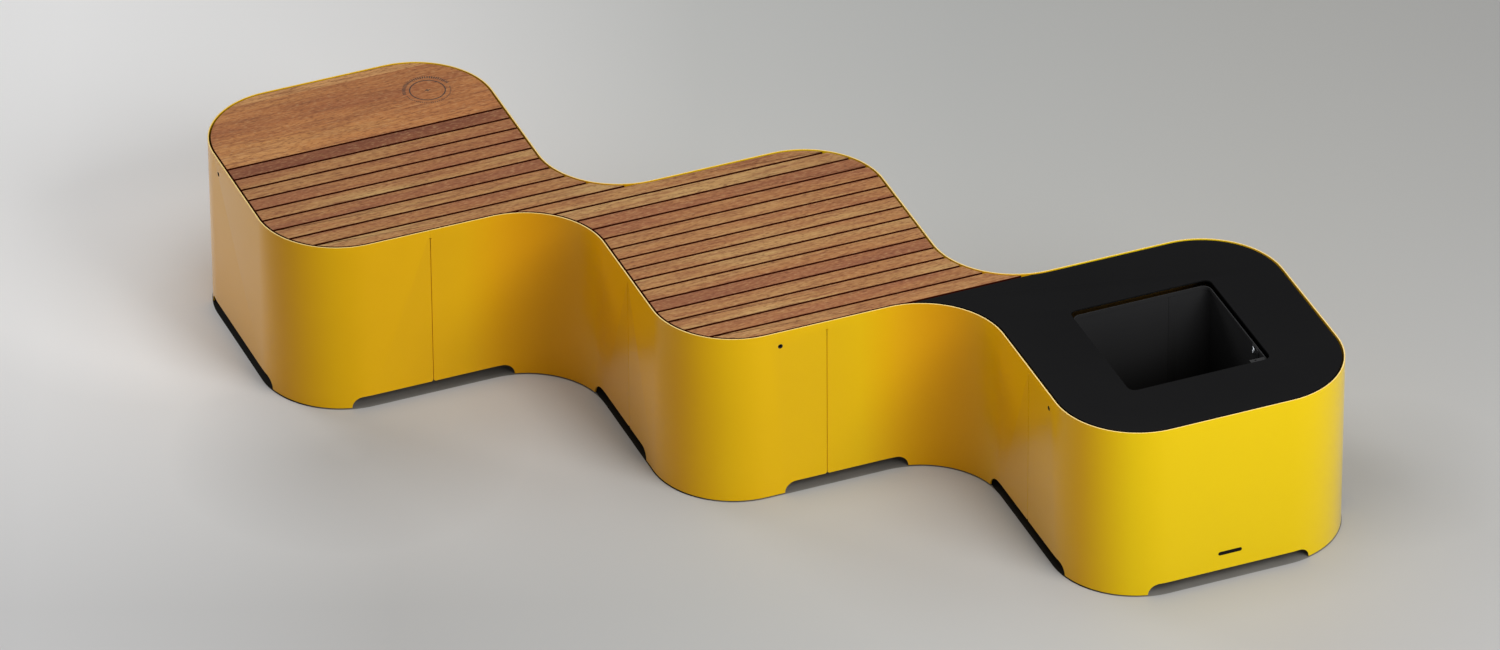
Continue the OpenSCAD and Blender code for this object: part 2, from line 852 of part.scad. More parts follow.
module lid_plate() {
  color([0.11, 0.11, 0.11]) translate([0, 0, lid_z]) linear_extrude(lid_t) difference() {
    intersection() {
      plan_c(deck_inset);
      area([-cell, -2 * cell], [2 * cell, -half - slat_gap / 2]);
    }
    translate(centre_c) rounded_square(opening, opening_r);
  }
}

// Four bars under the plate round the opening, and two arms over the waist
module lid_frame() {
  bottom = slat_z - bar_h;
  tall = lid_z - bottom;
  long = leg_mid + lid_bar_w / 2;
  color([0.16, 0.16, 0.17]) {
    translate(centre_c) {
      for (s = [-1, 1]) translate([s * lid_bar - lid_bar_w / 2, -long, bottom])
        cube([lid_bar_w, 2 * long, tall]);
      for (y = [-lid_bar, leg_mid]) translate([-long, y - lid_bar_w / 2, bottom])
        cube([2 * long, lid_bar_w, tall]);
      translate([-horn_end, reach_neck - horn_w, lid_z - edge_bar_t])
        cube([horn_end - lid_bar, horn_w, edge_bar_t]);
      translate([-lid_bar - lid_bar_w / 2, long - weld, lid_z - edge_bar_t])
        cube([lid_bar_w, reach_neck - long, edge_bar_t]);
    }
    lock_bracket(c_left, 1, lid_bar + lid_bar_w / 2 - weld);
  }
}

// Liner: an open box of thin sheet, with a lifting lug on its right wall and a stiffening plate
// across its front right corner
liner_z = rail_z + rail_h;
liner_top = lid_z - liner_drop;
liner_half = opening / 2 - liner_gap;
lug = [3, 34, 22];
lug_y = -100;
lug_down = 2;
lug_hole = 9;
corner_plate = [38, 21];
corner_hole = [-25, 16];
corner_hole_d = 5;
module liner() {
  inner = liner_half - liner_t;
  color([0.17, 0.17, 0.17]) translate(centre_c) {
    difference() {
      translate([0, 0, liner_z]) linear_extrude(liner_top - liner_z)
        rounded_square(2 * liner_half, liner_r);
      translate([0, 0, liner_z + liner_t]) linear_extrude(liner_top - liner_z)
        rounded_square(2 * inner, liner_r - liner_t);
    }
    translate([inner - lug[0], lug_y - lug[1] / 2, liner_top - lug[2] - lug_down]) difference() {
      cube(lug);
      translate([-past, lug[1] / 2, lug[2] / 2]) rotate([0, 90, 0])
        cylinder(h = lug[0] + past, d = lug_hole);
    }
    translate([0, 0, liner_top - liner_t]) linear_extrude(liner_t) difference() {
      intersection() {
        translate([inner - corner_plate[0], -inner]) square(corner_plate);
        rounded_square(2 * inner, liner_r - liner_t);
      }
      translate([inner, -inner] + corner_hole) circle(d = corner_hole_d);
    }
  }
}

// Locks

cam_y = bracket_y + bracket_t + 13;
barrel_front = cam_y - barrel_l;
barrel_nut = 5;
barrel_rim = 3;
spindle_d = 8;
spindle_from = 12;
key_side = 9;
key_deep = 6;

// A quarter-turn barrel with a three-cornered key recess and a bore for the cam's spindle
module lock_barrel(face, side) {
  color("silver") on_face(face) translate([side * key_off, barrel_front, height - key_down])
    rotate([-90, 0, 0]) difference() {
      union() {
        cylinder(h = barrel_l, d = barrel_d);
        translate([0, 0, bracket_y - barrel_front + bracket_t])
          cylinder(h = barrel_nut, d = barrel_d + barrel_rim);
      }
      translate([0, 0, -past]) cylinder(h = key_deep + past, d = key_side, $fn = 3);
      translate([0, 0, spindle_from - 2]) cylinder(h = barrel_l, d = spindle_d + 2 * run_gap);
    }
}

// The cam hangs down when the lock is open
module lock_cam(face, side) {
  color("dimgray") on_face(face) translate([side * key_off, cam_y + hair, height - key_down])
    rotate([-90, 0, 0]) {
      cylinder(h = cam_t, d = 1.3 * cam_w);
      translate([-cam_w / 2, 0, 0]) cube([cam_w, cam_l, cam_t]);
      translate([0, 0, spindle_from - barrel_l - hair])
        cylinder(h = barrel_l - spindle_from + hair, d = spindle_d);
    }
}

module lock_a_barrel() { lock_barrel(a_left, -1); }
module lock_b_barrel() { lock_barrel(b_front, -1); }
module lock_c_barrel() { lock_barrel(c_left, 1); }
module lock_a_cam() { lock_cam(a_left, -1); }
module lock_b_cam() { lock_cam(b_front, -1); }
module lock_c_cam() { lock_cam(c_left, 1); }

skin_a_end();
skin_neck_ab_front();
skin_neck_ab_back();
skin_b_front();
skin_b_back();
skin_neck_bc_front();
skin_neck_bc_back();
skin_c_end();
frame_a();
frame_b();
frame_c();
skin_brackets();
lock_keepers();
coupling_plates();
frame_bolts();
skin_studs();
foot_studs();
foot_pads();
rest_pads();
charging_panel();
deck_a_frame();
deck_a_screws();
charging_coil();
charger_box();
deck_b_frame();
deck_b_screws();
lid_plate();
lid_frame();
liner();
lock_a_barrel();
lock_b_barrel();
lock_c_barrel();
lock_a_cam();
lock_b_cam();
lock_c_cam();
name_plate();
for (k = [0 : slats_a - 1])
  slat_a(k);
for (k = [0 : slats_b - 1])
  slat_b(k);
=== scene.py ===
# %% [markdown]
# A modular bench
#
# Three square modules are joined corner to corner and wrapped in one band of yellow sheet steel.
# The rear module has a wide wooden panel with a charging point, the middle one is all slats, and
# the front one has a black lid with a square opening over a liner. The measured model comes in
# first as a fixed frame. The pieces that the eye rests on are then made again in Blender with
# rounded edges, and every surface gets a material of its own.

# %% The measured frame
import json
import math

import bpy
from mathutils import Matrix, Vector


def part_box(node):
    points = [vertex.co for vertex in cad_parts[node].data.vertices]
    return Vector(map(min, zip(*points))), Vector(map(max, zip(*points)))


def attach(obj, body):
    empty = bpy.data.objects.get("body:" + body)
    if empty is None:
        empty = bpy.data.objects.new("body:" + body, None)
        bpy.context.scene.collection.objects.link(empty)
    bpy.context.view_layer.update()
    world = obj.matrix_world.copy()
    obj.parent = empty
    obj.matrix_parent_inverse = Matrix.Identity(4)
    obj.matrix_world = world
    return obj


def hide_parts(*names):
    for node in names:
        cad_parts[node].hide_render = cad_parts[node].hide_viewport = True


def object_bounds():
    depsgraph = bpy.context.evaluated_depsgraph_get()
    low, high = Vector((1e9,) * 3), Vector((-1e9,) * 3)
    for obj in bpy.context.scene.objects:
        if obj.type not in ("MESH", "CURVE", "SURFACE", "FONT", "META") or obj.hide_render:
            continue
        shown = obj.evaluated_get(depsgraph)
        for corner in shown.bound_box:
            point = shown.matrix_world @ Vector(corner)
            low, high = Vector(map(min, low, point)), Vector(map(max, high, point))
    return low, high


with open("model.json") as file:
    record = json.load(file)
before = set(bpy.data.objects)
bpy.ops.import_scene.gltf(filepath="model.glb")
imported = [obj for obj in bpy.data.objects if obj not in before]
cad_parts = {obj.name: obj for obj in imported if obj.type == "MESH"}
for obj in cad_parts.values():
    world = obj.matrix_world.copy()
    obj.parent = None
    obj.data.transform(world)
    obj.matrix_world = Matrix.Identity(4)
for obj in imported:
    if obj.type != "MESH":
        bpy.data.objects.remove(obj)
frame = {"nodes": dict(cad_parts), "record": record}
cad_low, cad_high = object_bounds()
nodes = frame["nodes"]
print("frame:", len(nodes), "nodes, box", tuple(cad_low), tuple(cad_high))

# %% [markdown]
# The camera
#
# The picture was taken from far away with a long lens, which keeps parallel edges nearly parallel.
# A camera fitted to the outline and the slat lines stands about 29 m off, in front and to the
# left, and looks down at about 34 degrees. It is placed by numbers and not by eye, and it comes
# first, so that every piece can be judged through it.

# %% The camera
picture_width = 1500  # pixels
focal_pixels = 12351.6
camera_place = (-8.93034, -21.90994, 16.21611)
camera_turn = (55.94251, 0.30064, -22.27216)  # degrees
camera_data = bpy.data.cameras.new("camera")
camera_data.sensor_width = 36.0
camera_data.lens = camera_data.sensor_width * focal_pixels / picture_width
camera_data.clip_start, camera_data.clip_end = 1.0, 200.0
camera = bpy.data.objects.new("camera", camera_data)
bpy.context.scene.collection.objects.link(camera)
camera.location = camera_place
camera.rotation_euler = [math.radians(angle) for angle in camera_turn]
bpy.context.scene.camera = camera
print("lens", round(camera_data.lens, 2), "mm")

# %% [markdown]
# Materials as small node trees
#
# Each material is a Principled shader with a few patterns in front of it. Colours are written as
# the hex codes that a paint chart would give, and one function turns them into the linear numbers
# that a shader adds up. A second small function adds a node and wires it in one go, which keeps
# the recipes short enough to read.


# %% Colour and node helpers
def hex_colour(code):
    """Turns an sRGB hex code into linear red, green, blue and alpha."""
    parts = [int(code[k : k + 2], 16) / 255 for k in (1, 3, 5)]
    return [p / 12.92 if p <= 0.04045 else ((p + 0.055) / 1.055) ** 2.4 for p in parts] + [1.0]


def add(tree, kind, sockets=None, **settings):
    """Adds one node. Sockets take a value, or another node's output to link from."""
    made = tree.nodes.new("ShaderNode" + kind)
    for name, value in settings.items():
        setattr(made, name, value)
    for name, value in (sockets or {}).items():
        if isinstance(value, bpy.types.NodeSocket):
            tree.links.new(value, made.inputs[name])
        else:
            made.inputs[name].default_value = value
    return made


def new_material(name):
    """An empty material, its tree and the object's own coordinates, in metres."""
    made = bpy.data.materials.new(name)
    made.use_nodes = True
    made.node_tree.nodes.clear()
    place = add(made.node_tree, "TexCoord").outputs["Object"]
    return made, made.node_tree, place


def stretched(tree, place, x, y, z):
    """The coordinates scaled, so that a pattern repeats x, y and z times in a metre."""
    return add(tree, "Mapping", {"Vector": place, "Scale": (x, y, z)}).outputs["Vector"]


def blend_colours(tree, amount, first, second):
    """Goes from the first colour to the second as amount goes from 0 to 1."""
    mix = add(tree, "Mix", data_type="RGBA", blend_type="MIX")
    # A Mix node has a set of sockets for each kind of data; 0, 6 and 7 belong to colours
    for number, value in ((0, amount), (6, first), (7, second)):
        if isinstance(value, bpy.types.NodeSocket):
            tree.links.new(value, mix.inputs[number])
        else:
            mix.inputs[number].default_value = value
    return mix.outputs[2]


def spread(tree, value, low, high, from_low=0.0, from_high=1.0):
    """Maps a pattern's range onto another range."""
    limits = {"From Min": from_low, "From Max": from_high, "To Min": low, "To Max": high}
    return add(tree, "MapRange", {"Value": value} | limits).outputs["Result"]


def finish_material(tree, sockets):
    """Adds the Principled shader with its sockets and joins it to the output."""
    shader = add(tree, "BsdfPrincipled", sockets)
    add(tree, "OutputMaterial", {"Surface": shader.outputs["BSDF"]})


print("helpers ready")

# %% [markdown]
# Powder coat
#
# The skin is sheet steel with a satin polyester powder coat. Powder is sprayed on dry and melted
# in an oven, which leaves a faint ripple like orange peel. The ripple is 2 to 3 mm across, too
# fine to see from 29 m, so it is only a soft bump, and a wide cloud in the tone and the gloss
# gives the eye the slight unevenness of a big coated sheet. The same recipe makes the black and
# the charcoal coats, and a dark brown copy of the yellow for the hidden frames, which is painted
# shade for frames that stand in the shadow under the decks. One function does for all four,
# because only their colours and their gloss differ.


# %% Powder coats
ripple_mm = 2.5
clouds_per_metre = 3.0


def powder_coat(name, colour, shade, roughness, gloss, gloss_tint="#FFFFFF", coat=0.0):
    made, tree, place = new_material(name)
    ripple = add(tree, "TexNoise", {"Vector": place, "Scale": 1000 / ripple_mm, "Detail": 2.0})
    cloud = add(
        tree,
        "TexNoise",
        {"Vector": place, "Scale": clouds_per_metre, "Detail": 3.0, "Roughness": 0.5},
    ).outputs["Fac"]
    amount = spread(tree, cloud, 0.0, 1.0, 0.3, 0.7)
    tone = blend_colours(tree, amount, hex_colour(colour), hex_colour(shade))
    dent = add(
        tree, "Bump", {"Height": ripple.outputs["Fac"], "Strength": 0.12, "Distance": 0.0002}
    )
    finish_material(
        tree,
        {
            "Base Color": tone,
            "Roughness": spread(tree, cloud, roughness - 0.03, roughness + 0.04),
            "Specular IOR Level": gloss,
            "Specular Tint": hex_colour(gloss_tint),
            "Coat Weight": coat,
            "Coat Roughness": 0.25,
            "Coat IOR": 1.2,
            "Normal": dent.outputs["Normal"],
        },
    )
    return made


# The skin has a satin sheen, the lid is fine and matt, the liner a dull dark grey
yellow_coat = powder_coat("powder_coat_yellow", "#EBB608", "#E6B007", 0.3, 0.5, "#E8B400", 1.0)
black_coat = powder_coat("powder_coat_fine_black", "#0F0F10", "#0D0D0E", 0.65, 0.1)
# A dark brown copy of the yellow: painted shade for the frames inside the bench
shaded_yellow_coat = powder_coat("powder_coat_yellow_painted_shade", "#5F4510", "#4A3815", 0.6, 0.3)
charcoal_coat = powder_coat("powder_coat_charcoal", "#2F2F30", "#29292A", 0.5, 0.3)
print("powder coats:", yellow_coat.name, black_coat.name, shaded_yellow_coat.name, charcoal_coat.name)

# %% [markdown]
# Painted light and shade in the coats
#
# The yellow coat is painted with light and shade. Where a side faces the lamp in front and to
# the right it keeps a cleaner yellow, and the sides that face away from it get a deeper, more
# orange tone: painted shade. Towards the lid module, on the right, the yellow turns a touch lighter
# and more lemon: painted light, where that lamp stands nearer. The sharp upper edge gets a pale
# cream: a painted highlight. The hollow bends at the waists get the deep orange too: painted shade.
# In the liner the coat turns nearly black towards the bottom. Brushed masks could do this, but
# here the place of a point and the direction that its surface faces are enough, and both come from
# the mesh itself.

# %% Painted light and shade, rim highlight and the liner's darker bottom
# The direction of the front lamp in plan; sides that face it keep the cleaner yellow
front_lamp_side = (0.45, -0.89, 0)
rim_low, rim_high = cad_high.z - 0.0006, cad_high.z - 0.0002

tree = yellow_coat.node_tree
shader = tree.nodes["Principled BSDF"]
tone = shader.inputs["Base Color"].links[0].from_socket
surface = add(tree, "TexCoord").outputs
split = add(tree, "SeparateXYZ", {"Vector": surface["Object"]}).outputs
# Towards the right the yellow turns a touch lighter and more lemon: painted light, where the front
# lamp stands nearer
painted_light_right = spread(tree, split["X"], 0.0, 1.0, -0.5, 0.6)
tone = blend_colours(tree, painted_light_right, tone, hex_colour("#EAC80A"))
# Sides that face away from the front lamp get a deeper orange: painted shade
facing_front_lamp = add(
    tree, "VectorMath", {0: surface["Normal"], 1: front_lamp_side}, operation="DOT_PRODUCT"
).outputs["Value"]
away_from_lamp = spread(tree, facing_front_lamp, 0.6, 0.0, 0.0, 0.6)

# The modules' middles lie on the line x + y = 0, and x - y tells how far along it a point is. Skin
# that is near the line and not near either end of it is in a hollow, and gets painted shade there
masks = []
for operation, inner, outer in (("ADD", 0.08, 0.27), ("SUBTRACT", 1.1, 1.3)):
    line = add(tree, "Math", {0: split["X"], 1: split["Y"]}, operation=operation).outputs["Value"]
    line = add(tree, "Math", {0: line}, operation="ABSOLUTE").outputs["Value"]
    masks.append(spread(tree, line, 1.0, 0.0, inner, outer))
hollow_shade = add(tree, "Math", {0: masks[0], 1: masks[1]}, operation="MULTIPLY").outputs["Value"]
painted_shade = add(tree, "Math", {0: away_from_lamp, 1: hollow_shade}, operation="MAXIMUM").outputs["Value"]
tone = blend_colours(tree, painted_shade, tone, hex_colour("#E09508"))

# The upper edge gets a pale cream: a painted highlight, palest where it faces away from the front
# lamp
rim_highlight_mask = spread(tree, split["Z"], 0.0, 1.0, rim_low, rim_high)
painted_rim_highlight = blend_colours(tree, away_from_lamp, hex_colour("#F2C52C"), hex_colour("#FFE9B4"))
tone = blend_colours(tree, rim_highlight_mask, tone, painted_rim_highlight)
tree.links.new(tone, shader.inputs["Base Color"])

tree = charcoal_coat.node_tree
shader = tree.nodes["Principled BSDF"]
tone = shader.inputs["Base Color"].links[0].from_socket
split = add(tree, "SeparateXYZ", {"Vector": add(tree, "TexCoord").outputs["Object"]}).outputs
# The coat turns nearly black towards the bottom of the liner
bottom_darkening = spread(tree, split["Z"], 1.0, 0.0, 0.20, 0.43)
tone = blend_colours(tree, bottom_darkening, tone, hex_colour("#0C0B0A"))
tree.links.new(tone, shader.inputs["Base Color"])
print("yellow and charcoal vary with place")

# %% [markdown]
# Oiled hardwood
#
# The slats are planed tropical hardwood with a thin coat of oil. Each slat was sawn from another
# plank, so its tone and its figure differ from its neighbour's. A material for each slat would do
# it, but one is enough: it finds out which slat it is on from its place along Y, and draws a
# random number for it. The number shifts the tone and slides the grain along, so that no two
# slats match. Grain lines are 2 to 8 mm apart and run lengthways. Pores are short dashes, finer
# than a millimetre on the real wood and drawn 3 mm wide here, so that they show.


# %% Oiled hardwood
module_side = 0.7
half_side = module_side / 2
slat_step = module_side / 15
panel_front = 0.77
seat_height = cad_high.z


def hardwood(name, board_width, first_board_y, heart_to_sap):
    """Wood with a tone for each board, counted along Y, and five colours from heart to sap."""
    made, tree, place = new_material(name)
    split = add(tree, "SeparateXYZ", {"Vector": place})
    from_edge = add(tree, "Math", {0: split.outputs["Y"], 1: first_board_y}, operation="SUBTRACT")
    in_boards = add(tree, "Math", {0: from_edge.outputs[0], 1: board_width}, operation="DIVIDE")
    board = add(tree, "Math", {0: in_boards.outputs[0]}, operation="FLOOR").outputs[0]
    chance = add(tree, "TexWhiteNoise", {"W": board}, noise_dimensions="1D")
    slide = add(
        tree, "VectorMath", {0: chance.outputs["Color"], 1: (9.0, 0.6, 0.4)}, operation="MULTIPLY"
    )
    moved = add(tree, "VectorMath", {0: place, 1: slide.outputs[0]}, operation="ADD").outputs[0]

    # Broad clouds of heart and sap colour run along the board, and each board has its own tone
    streak = stretched(tree, moved, 2.2, 15, 15)
    cloud = add(
        tree, "TexNoise", {"Vector": streak, "Scale": 1.0, "Detail": 3.0, "Distortion": 0.4}
    ).outputs["Fac"]
    own = add(
        tree, "Math", {0: chance.outputs["Value"], 1: 0.62}, operation="MULTIPLY", label="own tone"
    ).outputs[0]
    tone = add(
        tree,
        "Math",
        {0: spread(tree, cloud, 0.0, 0.5, 0.36, 0.66), 1: own},
        operation="ADD",
        use_clamp=True,
    ).outputs[0]
    figure = add(tree, "ValToRGB", {"Fac": tone}, label="heart to sap")
    ramp = figure.color_ramp
    ramp.elements[0].color = hex_colour(heart_to_sap[0])
    ramp.elements[1].color = hex_colour(heart_to_sap[4])
    for place_on_ramp, code in zip((0.25, 0.5, 0.78), heart_to_sap[1:4]):
        ramp.elements.new(place_on_ramp).color = hex_colour(code)

    # Grain lines 8 mm apart, with finer ones at 4 and 2 mm between them, and pores every 3 mm
    grain = stretched(tree, moved, 9, 125, 125)
    lines = add(
        tree, "TexNoise", {"Vector": grain, "Scale": 1.0, "Detail": 4.0, "Roughness": 0.6}
    ).outputs["Fac"]
    dashes = stretched(tree, moved, 75, 330, 330)
    pores = add(tree, "TexNoise", {"Vector": dashes, "Scale": 1.0, "Detail": 2.0}).outputs["Fac"]
    wood = figure.outputs["Color"]
    for amount, code in (
        (spread(tree, lines, 0.0, 0.75, 0.44, 0.68), "#895537"),
        (spread(tree, pores, 0.0, 0.62, 0.54, 0.68), "#6C402A"),
        (spread(tree, pores, 0.34, 0.0, 0.3, 0.46), "#D0A878"),
    ):
        wood = blend_colours(tree, amount, wood, hex_colour(code))

    # Below its rounded edge a board is a very dark red-brown and less glossy: painted shade for the
    # gaps between boards
    edge_low, edge_high = seat_height - 0.0012, seat_height - 0.0002
    gap_shade = spread(tree, split.outputs["Z"], 1.0, 0.0, edge_low, edge_high)
    wood = blend_colours(tree, gap_shade, wood, hex_colour("#380900"))
    dent = add(tree, "Bump", {"Height": lines, "Strength": 0.25, "Distance": 0.0004})
    finish_material(
        tree,
        {
            "Base Color": wood,
            "Roughness": spread(tree, lines, 0.5, 0.68, 0.3, 0.7),
            "Specular IOR Level": spread(tree, gap_shade, 0.22, 0.02),
            "Normal": dent.outputs["Normal"],
        },
    )
    return made


slat_tones = ("#8F5A3F", "#9E6643", "#AA7548", "#B38553", "#BD9660")
dark_tones = ("#6C3C2C", "#7E4A33", "#8F593C", "#9C6846", "#AA7A52")
panel_tones = ("#9C5E3C", "#AD6F42", "#B87A48", "#BF854E", "#CB955E")
slat_wood = hardwood("oiled_hardwood_slats", slat_step, -half_side, slat_tones)
dark_wood = hardwood("oiled_hardwood_dark_heart", slat_step, -half_side, dark_tones)
# The panel is glued up from boards three slats wide, the front one of them trimmed to 105 mm
panel_wood = hardwood(
    "oiled_hardwood_panel", 3 * slat_step, panel_front - 0.75 * slat_step, panel_tones
)
print("wood:", slat_wood.name, dark_wood.name, panel_wood.name)

# %% [markdown]
# Metals, rubber and plastic
#
# Fasteners are zinc plated, a thin bright layer with a faint blue cast and small spangles. The
# coupling plates are hot-dip galvanised, with crystals 10 to 20 mm wide. The bars under the
# decks are mill-finish aluminium with fine lines along the bar, as it leaves the press. Feet and
# pads are moulded rubber with a dusty, matt skin, and the charger's parts are moulded plastic with
# a spark-eroded grain. Cells, fine lines and a fine noise are the three patterns that tell these
# surfaces apart, so there are three recipes. The first and the last take a size in millimetres.


# %% Metals, rubber and plastic
def plated(name, colour, shade, cell_mm, roughness):
    """A metal coating with crystals of about cell_mm, under a light haze."""
    made, tree, place = new_material(name)
    spangle = add(tree, "TexVoronoi", {"Vector": place, "Scale": 1000 / cell_mm})
    haze = add(tree, "TexNoise", {"Vector": place, "Scale": 90.0, "Detail": 3.0})
    amount = add(
        tree, "Math", {0: spangle.outputs["Color"], 1: haze.outputs["Fac"]}, operation="MULTIPLY"
    ).outputs[0]
    finish_material(
        tree,
        {
            "Base Color": blend_colours(tree, amount, hex_colour(colour), hex_colour(shade)),
            "Metallic": 1.0,
            "Roughness": spread(tree, amount, roughness - 0.05, roughness + 0.12),
        },
    )
    return made


def drawn_aluminium(name):
    """Bare metal with die lines that run along Y, as the bars do."""
    made, tree, place = new_material(name)
    along = stretched(tree, place, 400, 9, 400)
    lines = add(tree, "TexNoise", {"Vector": along, "Scale": 1.0, "Detail": 2.0}).outputs["Fac"]
    dent = add(tree, "Bump", {"Height": lines, "Strength": 0.2, "Distance": 0.0001})
    finish_material(
        tree,
        {
            "Base Color": blend_colours(tree, lines, hex_colour("#C6C8CA"), hex_colour("#A9ACAF")),
            "Metallic": 1.0,
            "Roughness": spread(tree, lines, 0.34, 0.5),
            "Normal": dent.outputs["Normal"],
        },
    )
    return made


def moulded(name, colour, shade, grain_mm, roughness):
    """Rubber or plastic with the mould's grain and some dust."""
    made, tree, place = new_material(name)
    grain = add(tree, "TexNoise", {"Vector": place, "Scale": 1000 / grain_mm, "Detail": 3.0})
    dust = add(tree, "TexNoise", {"Vector": place, "Scale": 18.0, "Detail": 4.0})
    dent = add(
        tree, "Bump", {"Height": grain.outputs["Fac"], "Strength": 0.3, "Distance": 0.0002}
    )
    amount = spread(tree, dust.outputs["Fac"], 0.0, 1.0, 0.35, 0.75)
    finish_material(
        tree,
        {
            "Base Color": blend_colours(tree, amount, hex_colour(colour), hex_colour(shade)),
            "Roughness": spread(tree, dust.outputs["Fac"], roughness - 0.06, roughness + 0.06),
            "Normal": dent.outputs["Normal"],
        },
    )
    return made


zinc = plated("zinc_plated_steel", "#BFC3C8", "#9DA2A8", 4, 0.34)
black_oxide = plated("black_oxide_steel", "#2B2C2E", "#1C1D1F", 6, 0.42)
galvanised = plated("hot_dip_galvanised_steel", "#A8ABAE", "#85898C", 16, 0.45)
aluminium = drawn_aluminium("mill_finish_aluminium")
rubber = moulded("moulded_rubber", "#1B1B1B", "#2B2A28", 1.2, 0.78)
plastic = moulded("moulded_plastic", "#202124", "#28292C", 0.8, 0.52)
others = (zinc, black_oxide, galvanised, aluminium, rubber, plastic)
print("other materials:", [material.name for material in others])

# %% [markdown]
# Dressing the measured nodes
#
# Every node of the frame names the finish it is made of. A small table turns that name into the
# Blender material, and the node's single slot takes it. Only the three welded frames depart from
# the table: they get a dark brown copy of the yellow, painted shade for frames that stand in the
# shadow inside the bench. Nodes that are made again further down get their material too, so that
# nothing is ever bare.

# %% Dress the nodes
by_finish = {
    "powder_coat_yellow": yellow_coat,
    "powder_coat_black": black_coat,
    "powder_coat_charcoal": charcoal_coat,
    "oiled_hardwood": slat_wood,
    "galvanised_steel": galvanised,
    "zinc_plated_steel": zinc,
    "black_oxide_steel": black_oxide,
    "aluminium_bars": aluminium,
    "rubber": rubber,
    "moulded_plastic": plastic,
}
for part in frame["record"]["subparts"]:
    mesh = nodes[part["node"]].data
    mesh.materials.clear()
    # The three frames inside take the dark copy of the yellow, which is painted shade
    shaded_frame = part["node"] in ("frame_a", "frame_b", "frame_c")
    mesh.materials.append(shaded_yellow_coat if shaded_frame else by_finish[part["material_slot"]])

# %% [markdown]
# Working by hand, in code
#
# The pieces are modelled with the operators that a hand would reach for, so that each step can be
# tried in Blender's own window. An operator works on whatever is selected, so each one starts from
# a clean selection, and the corners or edges it should take are picked by where they are. These
# few helpers do the picking, the cutting and the handing over of a finished piece to the body it
# moves with.


# %% Picking, cutting and handing over
tiny = 1e-5  # metres, for comparing places
sharp_angle = 32  # degrees


def clear_selection():
    if bpy.context.object and bpy.context.object.mode != "OBJECT":
        bpy.ops.object.mode_set(mode="OBJECT")
    bpy.ops.object.select_all(action="DESELECT")


def only(piece):
    """Selects one piece and makes it the active one."""
    clear_selection()
    piece.select_set(True)
    bpy.context.view_layer.objects.active = piece


def pick(piece, wanted, kind="VERT"):
    """Goes into edit mode with just the corners, edges or faces selected that wanted accepts."""
    only(piece)
    mesh = piece.data
    bpy.ops.object.mode_set(mode="EDIT")
    bpy.ops.mesh.select_mode(type=kind)
    bpy.ops.mesh.select_all(action="DESELECT")
    bpy.ops.object.mode_set(mode="OBJECT")
    corners = mesh.vertices
    if kind == "VERT":
        for v in corners:
            v.select = wanted(v.co)
    elif kind == "EDGE":
        for e in mesh.edges:
            e.select = wanted(corners[e.vertices[0]].co, corners[e.vertices[1]].co)
    else:
        for f in mesh.polygons:
            f.select = wanted(f)
    bpy.ops.object.mode_set(mode="EDIT")


def done():
    """Leaves edit mode."""
    bpy.ops.object.mode_set(mode="OBJECT")


def face_outwards():
    """In edit mode, turns the faces of a closed shape outwards."""
    bpy.ops.mesh.select_all(action="SELECT")
    bpy.ops.mesh.normals_make_consistent(inside=False)


def extrude(x, y, z):
    """In edit mode, pulls out what is selected."""
    bpy.ops.mesh.extrude_region_move(TRANSFORM_OT_translate={"value": (x, y, z)})


def settle(piece):
    """Puts an object's place, turn and size into its mesh."""
    only(piece)
    bpy.ops.object.transform_apply(location=True, rotation=True, scale=True)


def use(piece, kind, **settings):
    """Adds a modifier, sets it and applies it."""
    only(piece)
    modifier = piece.modifiers.new(kind.lower(), kind)
    for name, value in settings.items():
        setattr(modifier, name, value)
    bpy.ops.object.modifier_apply(modifier=modifier.name)


def cut_away(piece, cutter):
    """Takes a solid cutter away from a piece."""
    use(piece, "BOOLEAN", operation="DIFFERENCE", solver="EXACT", object=cutter)


def join(pieces, name):
    """Makes several objects one, under the name given."""
    clear_selection()
    for piece in pieces:
        piece.select_set(True)
    bpy.context.view_layer.objects.active = pieces[0]
    bpy.ops.object.join()
    pieces[0].name = name
    return pieces[0]


def throw_away(*pieces):
    for piece in pieces:
        bpy.data.objects.remove(piece, do_unlink=True)


def copy_of(piece, name):
    """A copy with a mesh of its own."""
    made = piece.copy()
    made.data = piece.data.copy()
    made.name = name
    bpy.context.scene.collection.objects.link(made)
    return made


def hand_over(piece, material, body, finish, *stands_for):
    """Smooths a finished piece, gives it its material, and lets it ride on its body."""
    only(piece)
    bpy.ops.object.shade_smooth_by_angle(angle=math.radians(sharp_angle))
    piece.data.materials.clear()
    piece.data.materials.append(material)
    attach(piece, body)
    if stands_for:
        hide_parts(*stands_for)


print("hand tools ready")

# %% [markdown]
# Tracing the bench's outline
#
# The outline is nothing but straight runs and quarter turns of 200 mm, to the left on an outward
# corner and to the right on an inward one. A bevelled block for each module would leave seams at
# the waists. Instead a wall is drawn the way a tape is laid: start with one upright edge, extrude
# it along a run, spin it round a turn, and so on. The same walk with a distance to keep from the
# line draws the decks and the lid, which sit inside the skin.

# %% Sizes of the bench, from the frame
corner_radius = 0.2
skin_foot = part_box("skin_a_end")[0].z
sheet = 0.003
deck_gap = 0.0075  # from the skin's outer face to the wood
# The middle of each module
modules = {
    "a": Vector((-module_side, module_side, 0)),
    "b": Vector((0, 0, 0)),
    "c": Vector((module_side, -module_side, 0)),
}
print("seat", round(seat_height, 4), "skin starts at", round(skin_foot, 4))


